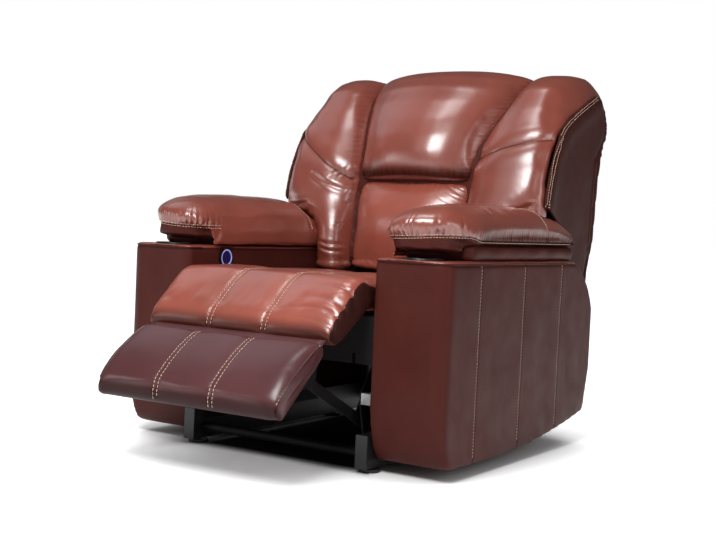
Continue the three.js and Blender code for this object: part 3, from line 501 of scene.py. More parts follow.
FINISHES = {
    "black_steel": BLACK_STEEL, "zinc": ZINC, "board": WOOD, "webbing": WEBBING,
    "black_plastic": PLASTIC, "lit_ring": RING_LIGHT, "dark_leather": HIDE_DARK,
    "leather": HIDE, "bright_leather": HIDE_LIT,
}
for part in frame["record"]["subparts"]:
    mesh = NODES[part["node"]].data
    mesh.materials.clear()
    mesh.materials.append(FINISHES[part["material_slot"]])
for button in ("button_open", "button_close"):
    NODES[button].data.materials[0] = BUTTON_BLUE
# The rails under the seat are wrapped in black dust cloth, whose near-black also paints the shade under the
# seat
for rail in ("seat_front_rail", "seat_side_rail_r", "seat_side_rail_l"):
    NODES[rail].data.materials[0] = WEBBING


# Stitches


def thread_mesh(spots, length=7.0, radius=0.95, lift=0.25, sides=6):
    """One rounded stitch at each (place, direction, facing), joined into one mesh."""
    stations = [(-0.5, 0.2), (-0.42, 0.75), (-0.2, 1), (0.2, 1), (0.42, 0.75), (0.5, 0.2)]
    verts, faces = [], []
    for place, direction, facing in spots:
        across = facing.cross(direction).normalized()
        faces += tube_faces(len(stations), sides, len(verts))
        for share, size in stations:
            centre = place + direction * (share * length * MM) + facing * (lift - 0.35 * (1 - size)) * MM
            verts += ring(centre, across, facing, radius * size * MM, sides)
    return verts, faces


def small_piece(name, verts, faces, material):
    obj = link(name, mesh_from(name, verts, faces))
    obj.data.materials.append(material)
    smooth_shade(obj.data)
    return obj


surfaces = {}


def on_surface(obj, path, aim):
    """Path points thrown onto the object's surface, each along its own way or all along one."""
    if obj.name not in surfaces:
        surfaces[obj.name] = BVHTree.FromObject(obj, bpy.context.evaluated_depsgraph_get())
    tree = surfaces[obj.name]
    found = []
    for point, way in zip(path, aim if isinstance(aim, list) else [aim] * len(path)):
        spot = here(*point)
        hit = tree.ray_cast(spot, Vector(way).normalized())
        if hit[0] is None:
            hit = tree.find_nearest(spot)
        found.append((hit[0], hit[1]))
    return found


def along_path(found, pitch):
    """Evenly spaced (place, direction, facing) along surface points."""
    out = []
    rest = 0.0
    for (p0, n0), (p1, n1) in zip(found, found[1:]):
        gap = (p1 - p0).length
        if gap < 1e-7:
            continue
        direction = (p1 - p0) / gap
        place = rest
        while place < gap:
            share = place / gap
            facing = n0.lerp(n1, share)
            facing = (facing - direction * facing.dot(direction)).normalized()
            out.append((p0.lerp(p1, share), direction, facing))
            place += pitch * MM
        rest = place - gap
    return out


def dense(points, gap=4.0):
    """More points along a list of corner points, smoothed with a Catmull-Rom curve."""
    pts = [Vector(p) for p in points]
    out = []
    for i in range(len(pts) - 1):
        p0, p1 = pts[max(i - 1, 0)], pts[i]
        p2, p3 = pts[i + 1], pts[min(i + 2, len(pts) - 1)]
        count = max(1, int((p2 - p1).length / gap))
        for k in range(count):
            t = k / count
            out.append(0.5 * (
                2 * p1 + (p2 - p0) * t + (2 * p0 - 5 * p1 + 4 * p2 - p3) * t * t
                + (3 * p1 - p0 - 3 * p2 + p3) * t ** 3
            ))
    out.append(pts[-1])
    return out


def heading(line, i):
    """Direction of a line of points at one of them."""
    return (line[min(i + 1, len(line) - 1)] - line[max(i - 1, 0)]).normalized()


def stitches(name, rows, body, pitch=9.5, **sizes):
    verts, faces = [], []
    for found in rows:
        v, f = thread_mesh(along_path(found, pitch), **sizes)
        faces += [[i + len(verts) for i in face] for face in f]
        verts += v
    obj = small_piece(name, verts, faces, THREAD)
    if isinstance(body, str):
        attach(obj, body)
    else:
        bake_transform(obj)


def welt(name, found, radius, material, body, sides=8):
    """Thin corded edge that lies on surface points."""
    places = [point + facing * (radius * 0.3 * MM) for point, facing in found]
    verts = []
    for i, place in enumerate(places):
        direction = heading(places, i)
        across = found[i][1].cross(direction).normalized()
        size = radius * MM * (0.4 if i in (0, len(places) - 1) else 1)
        verts += ring(place, across, direction.cross(across), size, sides)
    obj = small_piece(name, verts, tube_faces(len(places), sides), material)
    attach(obj, body)


def rivets(name, x, spots, body, radius=8.0):
    """Domed heads on both sides of the seat, each at a (Y, Z) of the linkage's inner face at X."""
    profile = [(1.0, 0.0), (1.0, 0.18), (0.9, 0.3), (0.62, 0.42), (0.3, 0.48)]
    verts, faces = [], []
    segments = 20
    for y, z in spots:
        for side in (1, -1):
            faces += [face[::-side] for face in tube_faces(len(profile), segments, len(verts))]
            for reach, height in profile:
                centre = here(side * (x - height * radius), y, z)
                verts += ring(centre, Vector((0, 1, 0)), Vector((0, 0, 1)), reach * radius * MM, segments)
    obj = small_piece(name, verts, faces, ZINC)
    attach(obj, body)


# Camera, lights, floor

CAMERA_AT = (1847.62, -2500.21, 622.16)
TURN, PITCH, ROLL = math.radians(32.51), math.radians(2.35), math.radians(2.70)
FOCAL_PIXELS = 1219.09
IMAGE_WIDTH = 716
SENSOR = 36
FLOOR_HALF = 40


def place_camera():
    ahead = Vector((-math.sin(TURN) * math.cos(PITCH), math.cos(TURN) * math.cos(PITCH), -math.sin(PITCH)))
    right = Vector((math.cos(TURN), math.sin(TURN), 0))
    up = right.cross(ahead)
    right2 = right * math.cos(ROLL) + up * math.sin(ROLL)
    up2 = up * math.cos(ROLL) - right * math.sin(ROLL)
    data = bpy.data.cameras.new("camera")
    data.sensor_width = SENSOR
    data.lens = FOCAL_PIXELS / IMAGE_WIDTH * SENSOR
    camera = link("camera", data)
    turn = Matrix((right2, up2, -ahead)).transposed()
    camera.matrix_world = Matrix.Translation(here(*CAMERA_AT)) @ turn.to_4x4()
    SCENE.camera = camera


def lamp(name, place, aim, size, power, color=(1, 1, 1)):
    data = bpy.data.lights.new(name, "AREA")
    data.shape = "RECTANGLE"
    data.size, data.size_y = size
    data.energy = power
    data.color = color
    obj = link(name, data)
    obj.location = place
    obj.rotation_mode = "QUATERNION"
    obj.rotation_quaternion = (Vector(place) - Vector(aim)).to_track_quat("Z", "Y")


def maths(tree, operation, a, b=0.0):
    return node(tree, "ShaderNodeMath", {0: a, 1: b}, operation=operation).outputs[0]


def see_through_rays(tree):
    """1 for camera, glossy and transmission rays, 0 for the light that falls on things."""
    path = node(tree, "ShaderNodeLightPath")
    first = maths(tree, "MAXIMUM", path.outputs["Is Camera Ray"], path.outputs["Is Glossy Ray"])
    return maths(tree, "MAXIMUM", first, path.outputs["Is Transmission Ray"])


def beyond(tree, value, middle, half):
    """0 up to about half on either side of the middle, and 1 a little further out."""
    off = maths(tree, "ABSOLUTE", maths(tree, "SUBTRACT", value, middle))
    return ranged(tree, off, half - 0.07, half + 0.02, curve="SMOOTHSTEP")


def studio():
    world = bpy.data.worlds.new("studio")
    SCENE.world = world
    world.use_nodes = True
    tree = world.node_tree
    back = tree.nodes["Background"]
    back.inputs["Color"].default_value = (1, 1, 1, 1)
    # A white backdrop behind the seat and a darker room round it, as shiny things see them
    way = node(tree, "ShaderNodeTexCoord").outputs["Generated"]
    backdrop = (-math.sin(TURN), math.cos(TURN), 0)
    facing = node(tree, "ShaderNodeVectorMath", {0: way, 1: backdrop}, operation="DOT_PRODUCT")
    height = node(tree, "ShaderNodeSeparateXYZ", {"Vector": way}).outputs["Z"]
    across = ranged(tree, facing.outputs["Value"], 0.65, 0.95)
    panel = maths(tree, "MULTIPLY", across, ranged(tree, height, 0.32, 0.06))
    path = node(tree, "ShaderNodeLightPath")
    seen = maths(tree, "MAXIMUM", ranged(tree, panel, low=0.07), path.outputs["Is Camera Ray"])
    strength = ranged(tree, see_through_rays(tree), low=0.32, high=seen)
    tree.links.new(strength, back.inputs["Strength"])

    lamp("key", (0.5, -2.0, 2.4), (0, 0, 0.7), (0.9, 1.1), 70)
    lamp("top", (-0.15, -0.2, 3.0), (0, 0, 0.5), (0.8, 0.8), 12)
    lamp("right", (3.0, -0.7, 1.3), (0.3, 0, 0.5), (0.5, 1.6), 15)
    lamp("left", (-2.2, -2.3, 1.0), (-0.3, -0.2, 0.5), (0.8, 0.8), 9)
    lamp("left_top", (-2.1, 0.3, 2.7), (0, 0, 0.5), (1.8, 1.8), 7, (0.88, 0.93, 1.0))

    corners = [(x * FLOOR_HALF, y * FLOOR_HALF, 0) for x, y in ((-1, -1), (1, -1), (1, 1), (-1, 1))]
    floor = link("floor", mesh_from("floor", corners, [(0, 1, 2, 3)]))
    material, tree, shader = nodes_of("floor", Roughness=0.9, Specular_IOR_Level=0.1)
    spot = node(tree, "ShaderNodeTexCoord").outputs["Object"]
    reach = node(tree, "ShaderNodeVectorMath", {0: spot}, operation="LENGTH").outputs["Value"]
    fill = ranged(tree, reach, 0.6, 1.4, low=0.78)
    # Soft shade of the seat on the floor
    open_sky = node(tree, "ShaderNodeAmbientOcclusion", {"Distance": 0.4}, samples=8)
    shade = ranged(tree, open_sky.outputs["AO"], 0.38, 0.84, curve="SMOOTHSTEP")
    # Painted shadow: the floor between the arms, under the seat, is painted near-black and gets no fill
    across, along, _ = node(tree, "ShaderNodeSeparateXYZ", {"Vector": spot}).outputs
    clear = maths(tree, "MAXIMUM", beyond(tree, across, 0.0, 0.3), beyond(tree, along, 0.09, 0.44))
    shade = maths(tree, "MULTIPLY", shade, clear)
    tree.links.new(ranged(tree, clear, low=0.01, high=0.86), shader.inputs["Base Color"])
    lit = node(tree, "ShaderNodeEmission", {
        "Color": (1, 1, 1, 1), "Strength": maths(tree, "MULTIPLY", fill, shade),
    })
    both = node(tree, "ShaderNodeAddShader", {0: shader.outputs[0], 1: lit.outputs[0]})
    choose = node(tree, "ShaderNodeMixShader", {
        "Fac": see_through_rays(tree), 1: shader.outputs[0], 2: both.outputs[0],
    })
    tree.links.new(choose.outputs[0], tree.nodes["Material Output"].inputs["Surface"])
    floor.data.materials.append(material)


SCENE.view_settings.view_transform = "Standard"
place_camera()
studio()

# Seat and its front roll, one leather cover over the hinge

SEAT_HALF = 286
SEAT_TOP = 484
SEAT_LOW = 402
ROW_HALF = 6.2


def side_drop(x, half, drop, run):
    inside = np.clip((np.abs(x) - half + run) / run, 0, 1)
    return drop * (1 - np.sqrt(1 - inside ** 2))


def seat_bridge():
    xs = np.linspace(-SEAT_HALF + 1, SEAT_HALF - 1, 41)
    tops = SEAT_TOP - 2 - side_drop(xs, SEAT_HALF, 24, 52)
    outline = list(zip(xs, tops)) + [(SEAT_HALF - 2, SEAT_LOW), (-SEAT_HALF + 2, SEAT_LOW)]
    return prism(outline, -8, 84)


SEAT_BODIES = ("base", "chaise", tuple(here(0, 42, 470)), tuple(here(0, -44, 440)))


def channels(x, up, dip):
    """A flat sewn strip between two stitch lines at each channel, with painted shade along the lines."""
    from_channel = np.abs(np.abs(x) - CHANNEL_AT)
    lines = groove(from_channel - ROW_HALF, 2.2) * up
    return -dip * groove(from_channel, 24) * up - 1.3 * lines, 0.3 * lines


def seat_detail(p, n):
    x, y, z = p.T
    up = step(n[:, 2] - n[:, 1] * 0.8, 0.1, 0.6)
    push, shade = channels(x, up, 1.6)
    along = along_line(y, z, HINGE, CREASE)
    away = SEAT_HALF - np.abs(x)
    seed = np.where(x > 0, 3.0, 8.0)
    front = step(along, -20, 40) * up * np.where(x > 0, 1.0, 0.25)
    slope = along + away * 0.3 - 0.0016 * away ** 2
    folds = gathers(slope, away - 4, 38, 92, seed, 0.2) * front
    push -= 4.2 * folds
    push += 2.2 * gathers(slope + 15, away - 10, 38, 66, seed, 0.4) * front
    slant = gathers(along - np.abs(x) * 0.45 + 30, np.abs(np.abs(x) - 150) - 10, 95, 60, 5.0, 0.3)
    push -= 0.8 * slant * step(along, 0, 60) * up
    push += 0.9 * low_waves(p, 70, 1.3) * up
    # Behind its crest the seat lies a little lower
    push -= 9 * step(y, 70, 180) * up
    # Painted shade on the front roll's lower edge, where it tucks down to the footrest, and in the folds
    low = 0.88 * step(along, 136, 170) * step(-y, 60, 100)
    return push, np.clip(shade + 0.35 * folds + low, 0, 1)


start_soft(
    "seat_cover", ["seat_cushion", "chaise_pad"], SEAT_BODIES, HIDE_LIT, extra=[seat_bridge()],
    pins=lambda p: np.where(p[:, 2] < SEAT_LOW - 2, 1.0, 0.0), cap=6, shrink=3,
)

# Footrest: the leather wraps round the board, with a cloth panel underneath

FOOT_HALF = 277
FOOT_LENGTH = 226


def foot_detail(p, n):
    x, y, z = p.T
    along = along_line(y, z, CREASE, FOOT_END)
    up = step(n[:, 2] - n[:, 1] * 0.7, 0.0, 0.5)
    push, shade = channels(x, up, 1.4)
    away = FOOT_HALF - np.abs(x)
    edge = groove(away - 7, 2.4) * up
    push -= 1.4 * edge
    push += 8 * np.sin(np.pi * np.clip(along / FOOT_LENGTH, 0, 1)) * up
    push += 4.5 * groove(np.hypot((away - 62) / 1.2, along - 118), 74) * up
    push -= 3.4 * groove(np.hypot(away - 16, along - 236), 13) * step(x, 0, 40)
    push += 1.4 * low_waves(p, 90, 4.2) * up
    # Painted shade on the footrest's front band and along its edge grooves
    front = 0.8 * step(along, 216, 234)
    return push, np.clip(shade + front + 0.3 * edge, 0, 1)


start_soft("footrest_cover", ["footrest_pad", "footrest_board"], "footrest", HIDE_FOOT, cap=5, shrink=3)

# Arms

ARM_LINES = (181, 434, 674)
ARM_RIM = 523
ARM_TOP = 535
OUTER_CORNER, INNER_CORNER, TOP_CORNER = 36, 20, 16
PAD_MIDDLE = 396
PAD_HALF = 104
PAD_INNER = 288
PAD_SEAM = 584
PAD_SEAM_LEAN = 10
PAD_REAR = 730
PAD_SWEEP = 52
NOSE_AT = 140
NOSE_LENGTH = 128
NOSE_RADIUS = 115


def square_edge(a, b, radius):
    """How far a square edge stands out of a round one, a and b measured in from its two faces."""
    return np.clip(np.hypot(np.clip(radius - a, 0, None), np.clip(radius - b, 0, None)) - radius, 0, None)


def arm_detail(p, n):
    x, y, z = np.abs(p[:, 0]), p[:, 1], p[:, 2]
    outer = step(x, ARM_OUTER - 14, ARM_OUTER - 8)
    push = 0.9 * low_waves(p, 90, 2.2)
    shade = np.zeros(len(p))
    # Painted shade along the seam grooves and the rim
    for line in ARM_LINES:
        push -= 1.7 * groove(y - line, 3.2) * outer
        shade += 0.45 * groove(y - line, 2.2) * outer
    rim = groove(z - ARM_RIM, 2.6) * step(1 - np.abs(n[:, 2]), 0.3, 0.6)
    push -= 1.3 * rim
    push -= square_edge(ARM_OUTER - x, y, OUTER_CORNER) + square_edge(x - ARM_INNER, y - 10, INNER_CORNER)
    push -= square_edge(ARM_TOP - z, y - 3, TOP_CORNER)
    return push, shade + 0.4 * rim


def band_detail(p, n):
    flat = step(np.abs(n[:, 0]), 0.5, 0.9)
    return 1.6 * low_waves(p, 40, 3.3) * flat, np.zeros(len(p))


def unswept(x, y):
    """Y as it is at the inside of the pad, whose nose runs back towards the outside."""
    share = np.clip((x - PAD_INNER) / (ARM_OUTER - PAD_INNER), 0, 1)
    return y - PAD_SWEEP * share ** 2 * (1 - step(y, 150, 310))


def pad_round(x, y):
    """Distance round the pad's nose and back along its sides, from the middle of the nose."""
    turn = np.arctan2((x - PAD_MIDDLE) / PAD_HALF, (NOSE_AT - y) / NOSE_LENGTH)
    side = np.sign(x - PAD_MIDDLE) * (math.pi / 2 * NOSE_RADIUS + y - NOSE_AT)
    return np.where(y < NOSE_AT, turn * NOSE_RADIUS, side)


def pad_seam(x, y):
    """Height of the seam under the pad's crown: it leans up to the outside round the nose."""
    return PAD_SEAM + PAD_SEAM_LEAN * (x - PAD_INNER) / (ARM_OUTER - PAD_INNER) * (1 - step(y, 120, 190))


def pad_arc(share):
    """Place in Y of the seam over the pad's crown."""
    return 534 + 40 * np.abs(share) ** 2.2


def pad_detail(p, n):
    x, y, z = np.abs(p[:, 0]), p[:, 1], p[:, 2]
    seed = 1.7 if p[:, 0].mean() > 0 else 6.4
    rise = z - pad_seam(x, y)
    around = pad_round(x, unswept(x, y))
    nose = step(-unswept(x, y), -165, -95)
    above = step(rise, -1, 3)
    folds = gathers(around, rise, 15.5, 33, seed, 0.24) * nose * above
    outside = step(x, PAD_MIDDLE, PAD_MIDDLE + 40)
    puckers = gathers(around, rise, 11, 30, seed + 2, 0.24) * (1 - nose) * above * outside
    seam = groove(rise, 2.3) * step(n[:, 2], -0.9, -0.5) * np.maximum(nose, outside)
    arc = groove(y - pad_arc((x - PAD_MIDDLE) / PAD_HALF), 2.2) * step(n[:, 2], -0.6, 0.0)
    push = -5.8 * folds - 2.6 * puckers - 2.2 * seam - 1.4 * arc
    push += 2.2 * gathers(around + 7.7, rise, 15.5, 26, seed, 0.36) * nose * above
    push += 1.6 * low_waves(p, 56, seed)
    across = x - PAD_MIDDLE
    push -= 1.6 * gathers(y + across * 0.4, np.abs(across) - 30, 90, 60, seed, 0.2) * step(n[:, 2], 0, 0.5)
    # Painted shade on the outer lip under the pad's seam, and in its folds, puckers and seams
    lip = 0.75 * groove(rise - 4, 26) * outside * (1 - nose)
    return push, np.clip(0.4 * folds + 0.3 * puckers + 0.6 * seam + 0.3 * arc + lip, 0, 1)


for side in ("r", "l"):
    start_soft(
        f"arm_cover_{side}", [f"arm_body_{side}"], "base", HIDE_DARK,
        voxel=0.007, shrink=0, rounds=4, pressure=0,
    )
    start_soft(f"arm_band_cover_{side}", [f"arm_band_{side}"], "base", HIDE_DARK, shrink=1, rounds=4, cap=3)
    start_soft(
        f"arm_pad_cover_{side}", [f"arm_pad_{side}"], "base", HIDE,
        voxel=0.005, shrink=3, cap=6, rounds=6,
    )

# Back

WING_CREASE = {
    "l": [(432, 882), (380, 852), (300, 800), (206, 748)],
    "r": [(447, 876), (380, 870), (300, 850), (206, 816)],
}
WING_FOLDS = {
    "l": [
        (412, 664, 338, 668, 4.2, 6), (372, 640, 304, 622, 3.2, 6), (392, 652, 330, 640, 2.6, 5),
        (262, 552, 204, 545, 3.0, 5), (258, 536, 204, 524, 3.6, 5), (330, 760, 222, 712, 2.4, 6),
    ],
    "r": [
        (420, 690, 350, 662, 2.6, 6), (262, 552, 204, 545, 2.6, 5), (300, 640, 230, 615, 2.4, 6),
        (258, 536, 204, 524, 3.0, 5),
    ],
}
PILLOW_EDGE = ((755, 845, 925, 1003, 1065), (192, 205, 225, 250, 263))
WING_INNER = ((760, 850, 950, 1030), (197, 209, 236, 259))
PILLOW_LOW = 770
LUMBAR_HALF = 189
LUMBAR_TOP = 738
PANEL_HALF = 445
PANEL_LOW, PANEL_TOP = 352, 856
SIDE_SEAM = [(638, 660), (649, 730), (690, 844), (777, 937), (979, 1031)]


def near_path(u, v, path):
    """Distance from a path of points, the place along it and its length."""
    best = np.full(len(u), 1e9)
    place = np.zeros(len(u))
    run = 0.0
    for (u0, v0), (u1, v1) in zip(path, path[1:]):
        length = math.hypot(u1 - u0, v1 - v0)
        t = np.clip(((u - u0) * (u1 - u0) + (v - v0) * (v1 - v0)) / length ** 2, 0, 1)
        gap = np.hypot(u - u0 - t * (u1 - u0), v - v0 - t * (v1 - v0))
        place = np.where(gap < best, run + t * length, place)
        best = np.minimum(best, gap)
        run += length
    return best, place, run


def short_folds(u, v, lines):
    """Single creases, each from one point to another with a depth and a width."""
    push = np.zeros(len(u))
    for u0, v0, u1, v1, depth, width in lines:
        gap, place, run = near_path(u, v, [(u0, v0), ((u0 + u1) / 2, (v0 + v1) / 2 - 4), (u1, v1)])
        push -= depth * groove(gap, width) * np.sin(np.pi * np.clip(place / run, 0.06, 0.94)) ** 0.6
        push += depth * 0.5 * groove(gap - width * 2.2, width * 1.3)
    return push


def hanging(n, z):
    """Drop of the undersides of the back's lowest cushions, down to the seat."""
    return 13 * step(-n[:, 2], 0.3, 0.8) * (1 - step(z, 500, 540))


def wing_detail(p, n):
    x, z = np.abs(p[:, 0]), p[:, 2]
    side = "r" if p[:, 0].mean() > 0 else "l"
    front = step(-n[:, 1] + 0.3 * n[:, 2], 0.0, 0.45)
    gap, place, run = near_path(x, z, WING_CREASE[side])
    line = groove(gap, 2.4) * front
    push = -4.2 * groove(gap, 11) * front - 3.0 * line
    push += 3.0 * groove(gap - 34, 22) * front
    end = step(place, run - 120, run - 20)
    push -= 1.7 * gathers(place, gap - 3, 19, 34, 2.1, 0.3) * end * front
    inner = x - np.interp(z, *WING_INNER)
    edge = gathers(z, inner - 5, 17, 22, 4.4, 0.3) * step(inner, -2, 8) * front
    push -= 0.8 * edge
    push += short_folds(x, z, WING_FOLDS[side]) * front
    push += 1.6 * low_waves(p, 66, 5.2 if side == "l" else 2.9)
    push += 9 * step(n[:, 1], -0.1, 0.7) * step(z, 880, 960)
    # Painted shade along the crease and the inner edge's folds
    return push + hanging(n, z), np.clip(0.85 * line + 0.3 * edge, 0, 1)


def pillow_detail(p, n):
    x, z = p[:, 0], p[:, 2]
    front = step(-n[:, 1] + 0.5 * n[:, 2], 0.0, 0.5)
    away = np.interp(z, *PILLOW_EDGE) - np.abs(x)
    ends = gathers(z, away - 6, 12.5, np.where(x > 0, 30, 20), np.where(x > 0, 2.0, 9.0), 0.24) * front
    low = gathers(x, z - PILLOW_LOW, 19, 22, 5.5, 0.28) * front
    push = -1.2 * ends * step(away, -2, 8) - 0.3 * low
    push += 0.9 * low_waves(p, 140, 3.1) + 5 * groove(np.hypot(x - 40, (z - 930) * 1.2), 190) * front
    # Painted shade on the pillow's underside and in its gathers
    under = 1 - step(z, PILLOW_LOW - 4, PILLOW_LOW + 36)
    return push, np.clip(0.35 * ends + 0.1 * low + 0.9 * under * front, 0, 1)


def lumbar_detail(p, n):
    x, z = p[:, 0], p[:, 2]
    front = step(-n[:, 1], 0.1, 0.6)
    away = LUMBAR_HALF - np.abs(x)
    high = step(z, 640, 700)
    ends = gathers(z - away * 0.5, away - 4, 12.5, np.where(x > 0, 52, 16), 3.7, 0.24) * front
    ends *= np.where(x > 0, 0.35 + 0.65 * high, 0.7)
    top = gathers(x, LUMBAR_TOP - z, 21, 16, 1.9, 0.28) * front
    push = -3.2 * ends - 1.2 * top + 1.4 * low_waves(p, 75, 7.7) + hanging(n, z)
    # Painted shade in the folds
    return push, 0.3 * ends + 0.2 * top


def rear_fill(n, z):
    """Fullness of the cover behind the back, above the arms."""
    size = 10 * step(z, 480, 600) + 6 * groove(z - 850, 60) - 4 * step(z, 930, 1010)
    return step(n[:, 1], 0.2, 0.9) * size


def side_detail(p, n):
    x, y, z = p.T
    outer = step(np.abs(x), 448, 453)
    gap, place, _ = near_path(y, z, SIDE_SEAM)
    seam = (groove(gap - 8, 1.9) + groove(gap - 15, 1.9)) * outer
    puckers = gathers(place, gap - 16, 11, 20, 5.0, 0.28) * outer * step(gap, 15, 18)
    push = -0.9 * seam - 1.7 * puckers + 0.7 * low_waves(p, 60, 1.1) * outer
    push += 2 * groove(gap - 40, 22) * outer + rear_fill(n, z)
    # Painted shade along the seam and its puckers
    return push, 0.4 * seam + 0.3 * puckers


def outside_detail(p, n):
    x, z = p[:, 0], p[:, 2]
    rear = step(n[:, 1], 0.4, 0.8)
    aside, above = PANEL_HALF - np.abs(x), z - PANEL_LOW
    border = np.minimum(aside, np.minimum(above, PANEL_TOP - z))
    line = groove(border - 10, 2.4) * rear
    puckers = gathers(np.where(aside < above, z, x), border - 12, 16, 16, 4.1, 0.26) * rear
    puckers *= step(border, 10, 14)
    push = -1.3 * line - 0.9 * puckers + 0.9 * low_waves(p, 110, 2.4) * rear
    # Painted shade along the border seam
    return push + rear_fill(n, z), 0.4 * line


def wing_foot(sign):
    """The wing's lower corner, which the leather fills down to the arm pad."""
    outline = [
        (286, 612), (340, 622), (396, 642), (437, 650), (437, 735), (410, 735), (350, 690), (286, 640),
    ]
    verts = [here(sign * x, y, z) for y in (648, 700) for x, z in outline]
    return mesh_from("wing_foot", verts, [face[::sign] for face in tube_faces(2, len(outline))])


def back_lining():
    """Inner cover that joins the stuffed parts of the back, a little below their surface."""
    nodes = ["back_wing_l", "back_wing_r", "head_pillow", "lumbar_pad"]
    obj = link("back_lining", joined_mesh(nodes))
    for amount in (11, -18):
        remesh(obj, 0.008)
        relax(obj.data, 3)
        set_coords(obj.data, coords(obj.data) + normals(obj.data) * (amount * MM))
    relax(obj.data, 4)
    smooth_shade(obj.data)
    obj.data.materials.clear()
    # The lining is in the darker arm leather, which paints shade into the gaps between the cushions
    obj.data.materials.append(HIDE_DARK)
    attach(obj, "back")


def rear_wedge(x0, x1):
    """Filling of the notch between the back's rear panel and the roll over it."""
    outline = [(985, 845), (1015, 838), (1027, 866), (1046, 897), (990, 900)]
    verts = [here(x, y, z) for x in (x0, x1) for y, z in outline]
    return mesh_from("rear_wedge", verts, tube_faces(2, len(outline)))


for side in ("r", "l"):
    start_soft(
        f"wing_cover_{side}", [f"back_wing_{side}"], "back", HIDE, shrink=1, cap=6, wide=8, rounds=5,
        extra=[wing_foot(1 if side == "r" else -1)],
    )
    edges = (442, 454) if side == "r" else (-454, -442)
    start_soft(
        f"side_cover_{side}", [f"back_side_{side}"], "back", HIDE_SIDE, shrink=0, rounds=3, pressure=0,
        extra=[rear_wedge(*edges)],
    )
start_soft("pillow_cover", ["head_pillow"], "back", HIDE, shrink=1, cap=6, wide=8, rounds=5)
start_soft("lumbar_cover", ["lumbar_pad"], "back", HIDE_LIT, shrink=0, cap=6, wide=8, rounds=4)
start_soft(
    "outside_back_cover", ["outside_back"], "back", HIDE_SIDE, shrink=0, rounds=3, pressure=0,
    extra=[rear_wedge(-440, 440)],
)
back_lining()

swell()

seat = finish_soft("seat_cover", seat_detail, settle=5)
foot = finish_soft("footrest_cover", foot_detail, settle=5)
arms, pads, sides = {}, {}, {}
for side in ("r", "l"):
    arms[side] = finish_soft(f"arm_cover_{side}", arm_detail)
    finish_soft(f"arm_band_cover_{side}", band_detail)
    pads[side] = finish_soft(f"arm_pad_cover_{side}", pad_detail)
    finish_soft(f"wing_cover_{side}", wing_detail, settle=10)
    sides[side] = finish_soft(f"side_cover_{side}", side_detail)
finish_soft("pillow_cover", pillow_detail, settle=10)
finish_soft("lumbar_cover", lumbar_detail, settle=10)
outside = finish_soft("outside_back_cover", outside_detail)


def second_leather(obj, material, where):
    """Gives the faces where where(places, normals) holds a second material."""
    mesh = obj.data
    mesh.materials.append(material)
    chosen = where(local(read(mesh.polygons, "center")), read(mesh.polygons, "normal"))
    mesh.polygons.foreach_set("material_index", chosen.astype(np.int32))
    mesh.update()


def foot_underside(p, n):
    along = along_line(p[:, 1], p[:, 2], CREASE, FOOT_END)
    inside = np.minimum(FOOT_HALF - np.abs(p[:, 0]), np.minimum(along - 6, FOOT_LENGTH - along))
    return (n[:, 1] * 0.66 - n[:, 2] * 0.75 > 0.8) & (inside > 18)


def pad_boxing(p, _):
    x, y, z = np.abs(p[:, 0]), p[:, 1], p[:, 2]
    return (z < pad_seam(x, y)) & (x > np.where(y < 150, ARM_INNER, PAD_MIDDLE))


def arm_top(p, n):
    return (p[:, 2] > ARM_RIM) & (n[:, 2] > 0.25)


def seat_boxing(p, _):
    return np.abs(p[:, 0]) > SEAT_HALF - 8


# Black cloth under the footrest; near-black hide on the seat's sides, a painted shade; darker leather under
# the pads' seams, partly a painted shade; the pads' brighter leather on the arms' tops, partly a painted lit
# top
second_leather(foot, WEBBING, foot_underside)
second_leather(seat, HIDE_SHADED, seat_boxing)
for side in ("r", "l"):
    second_leather(pads[side], HIDE_DARK, pad_boxing)
    second_leather(arms[side], HIDE, arm_top)

# Stitch rows

CHAISE_LINE = [(110, 484), (40, 484), (-8, 473), (-55, 448), (-89, 421), (-125, 383), (-150, 352)]
FOOT_LINE = [(-178, 334), (-218, 308), (-269, 273), (-320, 234), (-338, 214)]
FOOT_FRONT_LINE = FOOT_LINE + [(-346, 198), (-347, 180)]


def over_profile(x, profile, lift=50):
    """Points above a side-view line at one X, with the way down onto it."""
    line = dense([(x, y, z) for y, z in profile])
    starts, ways = [], []
    for i, point in enumerate(line):
        along = heading(line, i)
        away = Vector((0, along.z, -along.y))
        starts.append(point + away * lift)
        ways.append(-away)
    return starts, ways


def profile_rows(obj, profile, places):
    return [on_surface(obj, *over_profile(x, profile)) for x in places]


channel_rows = [side * (CHANNEL_AT + row) for side in (-1, 1) for row in (-ROW_HALF, ROW_HALF)]
stitches("seat_stitches", profile_rows(seat, CHAISE_LINE, channel_rows), SEAT_BODIES)
stitches("footrest_stitches", profile_rows(foot, FOOT_FRONT_LINE, channel_rows), "footrest")


def foot_side_rows(lean):
    """Rows along both side edges of the footrest, thrown in from outside at a slant."""
    rows = []
    for side in (-1, 1):
        starts, ways = over_profile(side * FOOT_HALF, FOOT_LINE, 30)
        starts = [point + Vector((side * 30 * lean, 0, 0)) for point in starts]
        aims = [(way + Vector((-side * lean, 0, 0))).normalized() for way in ways]
        rows.append(on_surface(foot, starts, aims))
    return rows


stitches("footrest_side_stitches", foot_side_rows(0.85), "footrest")
for number, row in enumerate(foot_side_rows(1.35)):
    welt(f"footrest_welt_{number}", row, 2.2, HIDE_FOOT, "footrest")


def arm_rows(side, sign):
    """Seams up the outer side of an arm."""
    rows = []
    for line in ARM_LINES:
        bottom = 44 + 0.05 * line
        path = [(sign * 560, line, bottom + k * (ARM_RIM - 1 - bottom) / 60) for k in range(61)]
        rows.append(on_surface(arms[side], path, (-sign, 0, 0)))
    return rows


